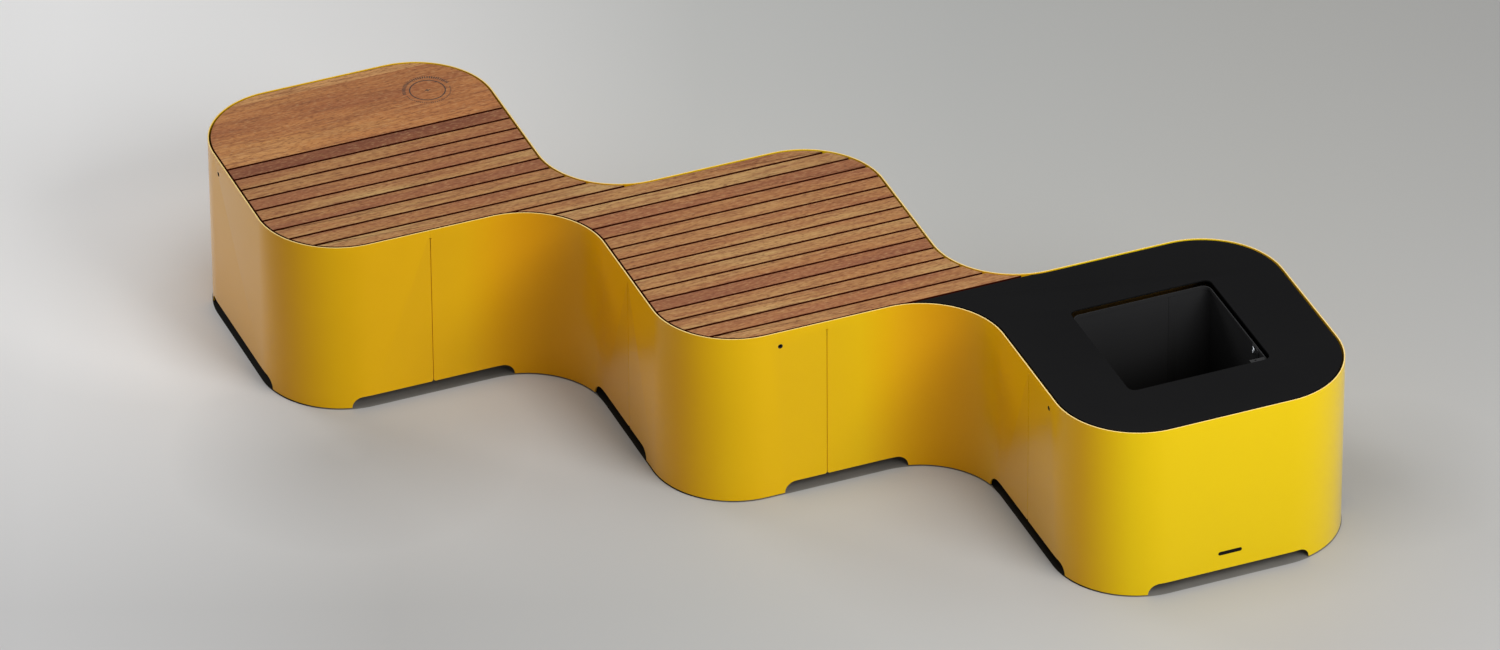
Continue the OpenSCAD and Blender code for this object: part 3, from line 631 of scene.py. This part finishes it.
# %% The tracer
def trace(name, start, heading, moves, inset=0.0, low=0.0, high=None, steps=32):
    """Lays a wall, or with no high a bare line, along runs (in mm) and turns L and R."""
    # Of an upright plane only one side edge stays, or for a bare line only its lower corner. It is
    # moved to where the walk starts and extruded from there
    tall = 0.1 if high is None else high - low
    ahead = Vector(heading).to_3d()
    left = Vector((-ahead.y, ahead.x, 0))
    pen = Vector(start).to_3d() + left * inset
    clear_selection()
    bpy.ops.mesh.primitive_plane_add(
        size=tall, location=(pen.x, pen.y, low + tall / 2), rotation=(math.pi / 2, 0, 0)
    )
    piece = bpy.context.object
    piece.name = name
    settle(piece)
    pick(piece, lambda co: co.x > pen.x or (high is None and co.z > low + tall / 2))
    bpy.ops.mesh.delete(type="VERT")
    bpy.ops.mesh.select_all(action="SELECT")
    bpy.ops.transform.translate(value=(tall / 2, 0, 0))
    for move in moves.split():
        if move in "LR":
            sign = 1 if move == "L" else -1
            radius = corner_radius - sign * inset
            centre = pen + left * sign * radius
            bpy.ops.mesh.spin(
                steps=steps,
                angle=-sign * math.pi / 2,
                center=(centre.x, centre.y, 0),
                axis=(0, 0, 1),
            )
            pen = centre + ahead * radius
            ahead, left = left * sign, -ahead * sign
        else:
            run = ahead * float(move) / 1000
            extrude(*run)
            pen = pen + run
    done()
    return piece


# %% [markdown]
# The skin
#
# Eight panels of 3 mm sheet meet at thin seams in the middle of the flat sides. Each panel is a
# traced wall that a Solidify modifier thickens inwards. Shapes that were cut out by laser before
# the sheet was rolled, such as the clearance along the floor, the seams and the key holes, are
# made as solid cutters and taken away with Booleans, which keeps their edges as crisp as a laser's.
# The top edge is rounded a little, and together with the painted highlight on it in the yellow coat
# this makes the bright line round the seat. A rubber grommet lines each key hole.

# %% Cutters for the laser-cut shapes
notch_height, notch_radius = 0.030, 0.027
# A notch runs 50 mm past the flat at each end. On the middle module it stops 45 mm before the end
# of the flat next to an outward corner
flat_end = 0.150
long_end, short_end = flat_end + 0.050, flat_end - 0.045
# A seam stops 22 mm below the seat, and above it the sheet is whole
seam_gap, seam_closed = 0.0016, 0.022
head_half_width, head_half_height = 0.0032, 0.0008
relief_half = 0.003
key_radius, key_aside, key_height = 0.006, 0.115, 0.412


def turned(piece, module, quarter_turns):
    """Turns a cutter made for a front side to another side of a module."""
    piece.matrix_world = (
        Matrix.Translation(modules[module])
        @ Matrix.Rotation(quarter_turns * math.pi / 2, 4, "Z")
        @ piece.matrix_world
    )
    settle(piece)
    return piece


def block(name, low, high):
    """A cutter's raw block between two corners."""
    low, high = Vector(low), Vector(high)
    clear_selection()
    bpy.ops.mesh.primitive_cube_add(size=1, location=(low + high) / 2)
    made = bpy.context.object
    made.name = name
    made.scale = high - low
    settle(made)
    return made


def notch_cutter(low, high):
    made = block(
        "notch",
        (low, -half_side - 0.02, -notch_height),
        (high, -half_side + 0.02, notch_height),
    )
    pick(made, lambda a, b: min(a.z, b.z) > 0 and abs(a.x - b.x) < tiny, "EDGE")
    bpy.ops.mesh.bevel(offset=notch_radius, segments=10)
    done()
    return made


# Quarter turns 0 to 3 are a module's front, right, back and left side
notches = []
for module in "abc":
    for quarter in range(4):
        low, high = -long_end, long_end
        if module == "b" and quarter in (0, 2):
            low = -short_end
        elif module == "b":
            high = short_end
        notches.append(turned(notch_cutter(low, high), module, quarter))
notches = join(notches, "notch_cutters")

# A seam is a slot with a cross cut at its head and a small diamond where it meets the notch
seam_places = (("a", 0), ("a", 1), ("b", 3), ("b", 0), ("c", 3), ("c", 2), ("b", 1), ("b", 2))
seam_top = seat_height - seam_closed
outside, inside = -half_side - 0.01, -half_side + 0.01
slots, reliefs = [], []
for module, quarter in seam_places:
    slot = block("seam", (-seam_gap / 2, outside, -0.01), (seam_gap / 2, inside, seam_top))
    slots.append(turned(slot, module, quarter))
    head = block(
        "head",
        (-head_half_width, outside, seam_top - head_half_height),
        (head_half_width, inside, seam_top + head_half_height),
    )
    reliefs.append(turned(head, module, quarter))
    relief = block(
        "relief", (-relief_half, outside, -relief_half), (relief_half, inside, relief_half)
    )
    relief.matrix_world = Matrix.Translation((0, 0, notch_height)) @ Matrix.Rotation(
        math.pi / 4, 4, "Y"
    )
    reliefs.append(turned(relief, module, quarter))
slots = join(slots, "seam_cutters")
reliefs = join(reliefs, "relief_cutters")

key_places = {"a": (3, -key_aside), "b": (0, -key_aside), "c": (3, key_aside)}
keys = []
for module, (quarter, along) in key_places.items():
    clear_selection()
    bpy.ops.mesh.primitive_cylinder_add(
        vertices=40,
        radius=key_radius,
        depth=0.02,
        rotation=(math.pi / 2, 0, 0),
        location=(along, -half_side, key_height),
    )
    settle(bpy.context.object)
    keys.append(turned(bpy.context.object, module, quarter))
keys = join(keys, "key_cutters")

# The oval plate sits in a shallow pocket with 0.3 mm of play all round
play, pocket_round = 0.0003, 0.00499
badge_low, badge_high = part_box("name_plate")
badge_seat = block(
    "badge_seat",
    (badge_low.x - play, badge_low.y - 0.001, badge_low.z - play),
    (badge_high.x + play, badge_high.y, badge_high.z + play),
)
pick(badge_seat, lambda a, b: abs(a.y - b.y) > tiny, "EDGE")
bpy.ops.mesh.bevel(offset=pocket_round, segments=10)
done()
print("cutters: 12 notches,", len(seam_places), "seams,", len(key_places), "key holes")

# %% Roll the eight panels
skin_round = 0.0007
# Where each panel starts, which way it heads, and its walk
panels = {
    "a_end": ((-0.35, 0.7), (0, 1), "150 L 300 L 300 L 150"),
    "neck_ab_front": ((-0.7, 0.35), (1, 0), "150 R 150"),
    "b_front": ((-0.35, 0), (0, -1), "150 L 150"),
    "neck_bc_front": ((0, -0.35), (1, 0), "150 R 150"),
    "c_end": ((0.35, -0.7), (0, -1), "150 L 300 L 300 L 150"),
    "neck_bc_back": ((0.7, -0.35), (-1, 0), "150 R 150"),
    "b_back": ((0.35, 0), (0, 1), "150 L 150"),
    "neck_ab_back": ((0, 0.35), (-1, 0), "150 R 150"),
}
hair = 0.0001  # keeps two panels that meet from touching
for name, (start, heading, moves) in panels.items():
    ahead = Vector(heading)
    steps = moves.split()
    steps[0] = str(float(steps[0]) - 1000 * hair)
    steps[-1] = str(float(steps[-1]) - 1000 * hair)
    wall = trace(
        "sheet_" + name,
        Vector(start) + ahead * hair,
        heading,
        " ".join(steps),
        low=skin_foot,
        high=seat_height,
    )
    face = wall.data.polygons[0]
    outward = Vector((heading[1], -heading[0], 0))
    inwards = -1 if face.normal.dot(outward) > 0 else 1
    use(wall, "SOLIDIFY", thickness=sheet, offset=inwards, use_even_offset=True)
    pick(wall, lambda co: True)
    face_outwards()
    done()
    # Top edges are longer than the sheet is thick, apart from the two across its raw ends
    pick(
        wall,
        lambda a, b: min(a.z, b.z) > seat_height - tiny and (a - b).length > sheet + 0.0001,
        "EDGE",
    )
    bpy.ops.mesh.bevel(offset=skin_round, segments=3)
    done()
    for cutter in (notches, slots, reliefs, keys):
        cut_away(wall, cutter)
    if name == "c_end":
        cut_away(wall, badge_seat)
    hand_over(wall, yellow_coat, "carcass", "powder_coat_yellow", "skin_" + name)
    print(wall.name, len(wall.data.polygons), "faces")
throw_away(notches, slots, reliefs, keys, badge_seat)

# %% Grommets in the key holes
grommet_radius, grommet_bore, grommet_depth = 0.00595, 0.72, 0.0045
grommets = []
for module, (quarter, along) in key_places.items():
    centre = (along, -half_side + 0.0002, key_height)
    clear_selection()
    bpy.ops.mesh.primitive_circle_add(
        vertices=40,
        radius=grommet_radius,
        rotation=(math.pi / 2, 0, 0),
        location=centre,
    )
    grommet = bpy.context.object
    settle(grommet)
    pick(grommet, lambda co: True)
    bpy.ops.mesh.extrude_region_move()
    bpy.ops.transform.resize(value=(grommet_bore, 1, grommet_bore), center_override=centre)
    bpy.ops.mesh.select_all(action="SELECT")
    extrude(0, grommet_depth, 0)
    face_outwards()
    done()
    grommets.append(turned(grommet, module, quarter))
grommets = join(grommets, "key_grommets")
hand_over(grommets, rubber, "carcass", "rubber")
print("three grommets")

# %% [markdown]
# The decks
#
# All the wood lies in one outline, 7.5 mm inside the skin's face, so it is drawn once as a flat
# sheet and then sawn: for each slat a copy is bisected along both of its edges, thickened, and its
# upper edges get the small round that a router leaves. Twenty-four blocks would each need their
# own curved ends, while this way the ends follow the curve exactly, as they do on the real bench.
# The lid is cut from the same sheet.

# %% The sheet that everything is sawn from
whole_start = (-0.35, 0.7)
whole_walk = "150 L 300 L 300 L 300 R 300 L 300 R 300 L 300 L 300 L 300 R 300 L 300 R 150"
whole = trace("deck_outline", whole_start, (0, 1), whole_walk, inset=deck_gap, steps=28)
pick(whole, lambda co: True)
bpy.ops.mesh.remove_doubles(threshold=tiny)
bpy.ops.mesh.edge_face_add()
face_outwards()
done()
if whole.data.polygons[0].normal.z < 0:
    pick(whole, lambda co: True)
    bpy.ops.mesh.flip_normals()
    done()
print("outline:", len(whole.data.vertices), "corners,", len(whole.data.polygons), "face")


def sawn(name, low_y, high_y, bottom, top, round_edge):
    """Saws the strip between low_y and high_y out of the outline and gives it its thickness."""
    strip = copy_of(whole, name)
    pick(strip, lambda co: True)
    if low_y is not None:
        bpy.ops.mesh.bisect(plane_co=(0, low_y, 0), plane_no=(0, -1, 0), clear_outer=True)
        bpy.ops.mesh.select_all(action="SELECT")
    if high_y is not None:
        bpy.ops.mesh.bisect(plane_co=(0, high_y, 0), plane_no=(0, 1, 0), clear_outer=True)
        bpy.ops.mesh.select_all(action="SELECT")
    bpy.ops.transform.translate(value=(0, 0, bottom))
    extrude(0, 0, top - bottom)
    face_outwards()
    done()
    if round_edge:
        pick(strip, lambda a, b: min(a.z, b.z) > top - tiny, "EDGE")
        bpy.ops.mesh.bevel(offset=round_edge, segments=3)
        done()
    return strip


# %% Slats
wood_bottom, wood_top = [corner.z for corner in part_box("slat_b_01")]
wood_round = 0.0012
for module, count in (("a", 9), ("b", 15)):
    for k in range(count):
        number = f"{module}_{k + 1:02d}"
        low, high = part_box("slat_" + number)
        slat = sawn("board_" + number, low.y, high.y, wood_bottom, wood_top, wood_round)
        wood = dark_wood if number == "a_09" else slat_wood
        hand_over(slat, wood, "deck_" + module, "oiled_hardwood", "slat_" + number)
print("slats from", round(wood_bottom, 3), "to", round(wood_top, 3))

# %% [markdown]
# The charging panel
#
# The wide panel is edge-glued from the same wood, with a round pocket below for the charging
# coil. Its mark was burnt into the wood by laser, which turns it dark brown. A mask in the wood's
# material could draw it, but a paper-thin inlay has crisp edges from any distance: a ring, a small
# bolt in its middle, and a circle of short ticks round it.

# %% The charging panel
panel_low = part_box("charging_panel")[0].y
panel = sawn("charging_board", panel_low, None, wood_bottom, wood_top, wood_round)
coil_low, coil_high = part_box("charging_coil")
coil_middle = (coil_low + coil_high) / 2
pocket_depth = 0.02
clear_selection()
bpy.ops.mesh.primitive_cylinder_add(
    vertices=96,
    radius=(coil_high.x - coil_low.x) / 2 + play,
    depth=pocket_depth,
    location=(coil_middle.x, coil_middle.y, coil_high.z + play - pocket_depth / 2),
)
pocket = bpy.context.object
settle(pocket)
cut_away(panel, pocket)
throw_away(pocket)
hand_over(panel, panel_wood, "deck_a", "oiled_hardwood", "charging_panel")
print("panel", len(panel.data.polygons), "faces, coil at", tuple(round(c, 3) for c in coil_middle))

# %% Burnt wood
# Charred fibres run with the grain, about 2 mm apart, and give the eye a dull, streaky brown
burnt_wood, tree, place = new_material("laser_burnt_wood")
fibres = stretched(tree, place, 60, 500, 60)
char = add(tree, "TexNoise", {"Vector": fibres, "Scale": 1.0, "Detail": 3.0}).outputs["Fac"]
brown = blend_colours(tree, char, hex_colour("#352B28"), hex_colour("#4A3C36"))
finish_material(tree, {"Base Color": brown, "Roughness": spread(tree, char, 0.6, 0.8)})
print(burnt_wood.name)

# %% The charging mark
mark_height, mark_depth = wood_top + 0.00004, 0.0003
# Half of the bolt's outline in millimetres; the other half is the same, turned round
half_bolt = ((10, 2.2), (0.8, 0.6), (1.6, 5.0))


def ring_mark(inner, outer):
    clear_selection()
    bpy.ops.mesh.primitive_circle_add(vertices=96, radius=outer)
    made = bpy.context.object
    pick(made, lambda co: True)
    bpy.ops.mesh.extrude_region_move()
    bpy.ops.transform.resize(value=(inner / outer, inner / outer, 1))
    bpy.ops.mesh.select_all(action="SELECT")
    extrude(0, 0, -mark_depth)
    face_outwards()
    done()
    return made


def tick_mark(radius, angle, long, wide):
    """One short tick that points at the middle of the ring."""
    made = block("tick", (-long / 2, -wide / 2, -mark_depth), (long / 2, wide / 2, 0))
    made.matrix_world = Matrix.Rotation(angle, 4, "Z") @ Matrix.Translation((radius, 0, 0))
    settle(made)
    return made


marks = [ring_mark(0.0405, 0.0434)]
# Long ticks go round the back half and short ones round the front: how many, the radius, the
# first angle and the step in degrees, length and width
for count, radius, first, step, long, wide in (
    (30, 0.0560, 14, 5.6, 0.0085, 0.0028),
    (32, 0.0545, -172, 5.4, 0.0035, 0.0022),
):
    for k in range(count):
        marks.append(tick_mark(radius, math.radians(first + step * k), long, wide))
clear_selection()
bpy.ops.mesh.primitive_circle_add(vertices=6, radius=0.008, fill_type="NGON")
bolt = bpy.context.object
outline = list(half_bolt) + [(-x, -y) for x, y in half_bolt]
for corner, (x, y) in zip(bolt.data.vertices, outline):
    corner.co = (x / 1000, y / 1000, 0)
pick(bolt, lambda co: True)
extrude(0, 0, -mark_depth)
face_outwards()
done()
marks.append(bolt)
mark = join(marks, "charging_mark")
mark.location = (coil_middle.x, coil_middle.y, mark_height)
settle(mark)
hand_over(mark, burnt_wood, "deck_a", "oiled_hardwood")
print("mark:", len(mark.data.polygons), "faces")

# %% [markdown]
# The lid
#
# The lid is 4 mm steel plate in a fine matt black coat, cut from the same outline, with a square
# opening whose corners are rounded to 18 mm. The opening could be inset into the plate's face, but
# a Boolean is more exact: a block with its upright edges bevelled is the cutter, and both top
# edges get a small round.

# %% The lid
lid_low, lid_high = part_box("lid_plate")
opening, opening_round, lid_round = 0.350, 0.018, 0.0006
below_lid, above_lid = 0.4, 0.5
lid = sawn("lid_sheet", None, lid_high.y, lid_low.z, lid_high.z, 0)
middle = modules["c"]
hole = block(
    "hole",
    (middle.x - opening / 2, middle.y - opening / 2, below_lid),
    (middle.x + opening / 2, middle.y + opening / 2, above_lid),
)
pick(hole, lambda a, b: abs(a.z - b.z) > tiny, "EDGE")
bpy.ops.mesh.bevel(offset=opening_round, segments=12)
done()
cut_away(lid, hole)
throw_away(hole)
pick(lid, lambda a, b: min(a.z, b.z) > lid_high.z - tiny, "EDGE")
bpy.ops.mesh.bevel(offset=lid_round, segments=2)
done()
hand_over(lid, black_coat, "lid", "powder_coat_black", "lid_plate")
throw_away(whole)
print("lid", len(lid.data.polygons), "faces")

# %% [markdown]
# The liner
#
# The litter drops into a lift-out liner, folded from 1.5 mm sheet. Its rim is hemmed, folded back
# on itself, so that nobody is cut by a raw edge, and the two ends of the sheet lap in a seam on the
# back wall. Tracing would do for its walls, but it has a floor as well, so it starts as a flat
# plate with rounded corners that is pulled up into a box and opened, and a Solidify modifier gives
# it its thickness. A lug with a wire ring on the right wall is what lifts it out, and a plate
# stiffens the front right corner.

# %% The liner's shell
liner_low, liner_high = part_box("liner")
liner_sheet, hem_height, hem_fold = 0.0015, 0.009, 0.0012
liner_corner, liner_foot_round = 0.020, 0.004
half_inside = (liner_high.x - liner_low.x) / 2 - liner_sheet
clear_selection()
bpy.ops.mesh.primitive_plane_add(
    size=liner_high.x - liner_low.x, location=(middle.x, middle.y, liner_low.z)
)
liner = bpy.context.object
liner.name = "liner_shell"
settle(liner)
pick(liner, lambda co: True)
bpy.ops.mesh.bevel(offset=liner_corner, segments=10, affect="VERTICES")
bpy.ops.mesh.select_all(action="SELECT")
extrude(0, 0, liner_high.z - liner_low.z)
face_outwards()
done()
pick(liner, lambda face: face.center.z > liner_high.z - tiny, "FACE")
bpy.ops.mesh.delete(type="FACE")
done()
pick(liner, lambda a, b: max(a.z, b.z) < liner_low.z + tiny, "EDGE")
bpy.ops.mesh.bevel(offset=liner_foot_round, segments=4)
done()
use(liner, "SOLIDIFY", thickness=liner_sheet, offset=-1, use_even_offset=True)
pick(liner, lambda co: True)
bpy.ops.mesh.bisect(plane_co=(0, 0, liner_high.z - hem_height), plane_no=(0, 0, 1))
done()


def faces_inwards(face):
    """True for the faces on the inside of the rim, where the sheet is folded back."""
    out = face.center - middle
    return (
        face.center.z > liner_high.z - hem_height
        and abs(face.normal.z) < 0.5
        and face.normal.x * out.x + face.normal.y * out.y < 0
    )


pick(liner, faces_inwards, "FACE")
bpy.ops.mesh.extrude_region_shrink_fatten(TRANSFORM_OT_shrink_fatten={"value": hem_fold})
face_outwards()
done()
print("liner shell", len(liner.data.polygons), "faces, inside half width", round(half_inside, 4))

# %% Lap seam, lug, corner plate and ring
right_wall = middle.x + half_inside
back_wall, front_wall = middle.y + half_inside, middle.y - half_inside
sunk = 0.0004  # how deep a fitting sits in the sheet, so that the two are one


def drill(piece, radius, vertices, place, **turn):
    """Drills a hole 20 mm deep, with its middle at the place given."""
    clear_selection()
    bpy.ops.mesh.primitive_cylinder_add(
        vertices=vertices, radius=radius, depth=0.02, location=place, **turn
    )
    bit = bpy.context.object
    settle(bit)
    cut_away(piece, bit)
    throw_away(bit)


lap = block(
    "liner_lap",
    (middle.x + 0.072, back_wall - 0.0008, liner_low.z + 0.006),
    (middle.x + 0.092, back_wall + sunk, liner_high.z - hem_height - 0.001),
)
pick(lap, lambda a, b: abs(a.z - b.z) > 0.1 and min(a.y, b.y) < back_wall - 0.0005, "EDGE")
bpy.ops.mesh.bevel(offset=0.0006, segments=2)
done()

lug_y, lug_z = middle.y - 0.100, liner_high.z - 0.013
half_wide, half_tall = 0.017, 0.011
lug = block(
    "liner_lug",
    (right_wall - 0.003, lug_y - half_wide, lug_z - half_tall),
    (right_wall + sunk, lug_y + half_wide, lug_z + half_tall),
)
pick(lug, lambda a, b: abs(a.x - b.x) > 0.001 and min(a.z, b.z) > lug_z, "EDGE")
bpy.ops.mesh.bevel(offset=0.006, segments=6)
done()
drill(lug, 0.0045, 32, (right_wall, lug_y, lug_z), rotation=(0, math.pi / 2, 0))

corner = block(
    "corner_plate",
    (right_wall - 0.038, front_wall, liner_high.z - liner_sheet),
    (right_wall, front_wall + 0.021, liner_high.z),
)
pick(
    corner,
    lambda a, b: min(a.x, b.x) > right_wall - tiny and max(a.y, b.y) < front_wall + tiny,
    "EDGE",
)
bpy.ops.mesh.bevel(offset=liner_corner - liner_sheet, segments=10)
done()
drill(corner, 0.0025, 24, (right_wall - 0.025, front_wall + 0.016, liner_high.z))
liner = join([liner, lap, lug, corner], "liner_shell")
hand_over(liner, charcoal_coat, "liner", "powder_coat_charcoal", "liner")

clear_selection()
bpy.ops.mesh.primitive_torus_add(
    major_segments=40,
    minor_segments=12,
    major_radius=0.0080,
    minor_radius=0.0015,
    rotation=(0, math.pi / 2, math.radians(-14)),
    location=(right_wall - 0.0065, lug_y, lug_z + 0.003),
)
ring = bpy.context.object
ring.name = "lug_ring"
settle(ring)
hand_over(ring, zinc, "liner", "zinc_plated_steel")
print("liner joined,", len(liner.data.polygons), "faces")

# %% [markdown]
# The floor
#
# The studio floor runs on past the picture on every side. It is a pale grey with the slow change
# from light to dark that a large window gives. The change is painted rather than lit, so that the
# bench keeps a plain light. Two ramps run from left to right, one for the near part of the floor
# and one for the far part, and two soft painted shadows and a pale painted pool of light lie over
# them. Under the bench the floor is painted dark, a painted shade mottled like dust, and darkest
# under the left side of each module, away from the front lamp. This painted shade is a thin sheet
# of its own, traced along the skin.

# %% The floor
rightwards, farther = (0.93, -0.375, 0), (0.375, 0.93, 0)
near_tones = ("#CCCCCC", "#B3B3B2", "#B2B3B2", "#B4B5B4", "#B2B1B0", "#B4B4B4")
far_tones = ("#F4F4F4", "#E1E1E0", "#C5C6C4", "#BABBB9", "#B5B5B2", "#B1B1AF")
stops = (0.24, 0.44, 0.63, 0.83)
# Two painted shadows and a painted pool of light: each one's middle, how far it reaches, how strong
# it is, and its colour
painted_pools = (
    ((-0.97, 0.2, 0), 0.42, 0.3, "#3A3A3A"),
    ((1.2, -0.8, 0), 0.32, 0.16, "#3A3A3A"),
    ((-1.12, 1.0, 0), 0.5, 0.7, "#FAFAFA"),
)
clear_selection()
bpy.ops.mesh.primitive_plane_add(size=60, location=(0, 0, 0))
floor = bpy.context.object
floor.name = "studio_floor"
floor_paint, tree, place = new_material("studio_floor_paint")
across, away = [
    add(tree, "VectorMath", {0: place, 1: way}, operation="DOT_PRODUCT").outputs["Value"]
    for way in (rightwards, farther)
]
sweeps = []
for tones in (near_tones, far_tones):
    sweep = add(tree, "ValToRGB", {"Fac": spread(tree, across, 0.0, 1.0, -1.7, 1.8)})
    sweep.color_ramp.elements[0].color = hex_colour(tones[0])
    sweep.color_ramp.elements[1].color = hex_colour(tones[5])
    for stop, code in zip(stops, tones[1:5]):
        sweep.color_ramp.elements.new(stop).color = hex_colour(code)
    sweeps.append(sweep.outputs["Color"])
depth = spread(tree, away, 0.0, 1.0, -0.8, 0.8)
paint = blend_colours(tree, depth, sweeps[0], sweeps[1])
for centre, reach, strength, code in painted_pools:
    off = add(tree, "VectorMath", {0: place, 1: centre}, operation="DISTANCE").outputs["Value"]
    painted_pool = spread(tree, off, strength, 0.0, 0.05, reach)
    paint = blend_colours(tree, painted_pool, paint, hex_colour(code))
finish_material(tree, {"Base Color": paint, "Roughness": 0.6, "Specular IOR Level": 0.2})
floor.data.materials.append(floor_paint)
print("floor laid")

# %% Painted shade under the bench
beyond_skin, above_floor = 0.0015, 0.0002
shade_sheet = trace(
    "painted_shade_patch", whole_start, (0, 1), whole_walk, inset=-beyond_skin, low=above_floor, steps=28
)
pick(shade_sheet, lambda co: True)
bpy.ops.mesh.remove_doubles(threshold=tiny)
bpy.ops.mesh.edge_face_add()
done()
shade_sheet_paint, tree, place = new_material("painted_shade_under_bench")
# The sheet is painted shade under the bench, mottled like dust
dust = add(tree, "TexNoise", {"Vector": place, "Scale": 14.0, "Detail": 5.0}).outputs["Fac"]
paint = blend_colours(tree, dust, hex_colour("#6E6C67"), hex_colour("#86837D"))
# The place along X counted in modules starts again at nought just outside each left side
split = add(tree, "SeparateXYZ", {"Vector": place}).outputs
side = add(
    tree, "Math", {0: split["X"], 1: 1 / module_side, 2: 1.504}, operation="MULTIPLY_ADD"
).outputs["Value"]
side = add(tree, "Math", {0: side}, operation="FRACT").outputs["Value"]
# Under the left side of each module, away from the front lamp, the painted shade is darkest
left = spread(tree, side, 1.0, 0.0, 0.05, 0.14)
paint = blend_colours(tree, left, paint, hex_colour("#2A2826"))
finish_material(tree, {"Base Color": paint, "Roughness": 0.85, "Specular IOR Level": 0.1})
shade_sheet.data.materials.append(shade_sheet_paint)
print("dust spread")

# %% [markdown]
# The light
#
# Three broad lamps and a pale world light the bench. One lamp stands in front and to the right,
# one hangs above, and one stands behind and to the left. Broad lamps give the soft shadows of a
# studio, where a sun lamp would cut them hard, and the world fills in what they leave dark. They
# are just strong enough for a colour to look as it was written.


# %% The light
def lamp(name, place, size, watts):
    """A square lamp of that size in metres, which points at the middle of the bench."""
    data = bpy.data.lights.new(name, "AREA")
    data.shape, data.size, data.energy = "SQUARE", size, watts
    made = bpy.data.objects.new(name, data)
    bpy.context.scene.collection.objects.link(made)
    made.location = place
    towards = Vector((0, 0, 0.3)) - Vector(place)
    made.rotation_euler = towards.to_track_quat("-Z", "Y").to_euler()


world = bpy.data.worlds.new("studio")
bpy.context.scene.world = world
world.use_nodes = True
background = world.node_tree.nodes["Background"]
background.inputs["Color"].default_value = (1, 1, 1, 1)
background.inputs["Strength"].default_value = 0.24
lamp("key", (1.8, -4.5, 3.8), 3.0, 232)
lamp("top", (0.0, -0.8, 6.5), 4.0, 132)
lamp("back", (-4.5, 7.8, 5.4), 3.5, 260)
bpy.context.scene.view_settings.view_transform = "Standard"
print("lights on")
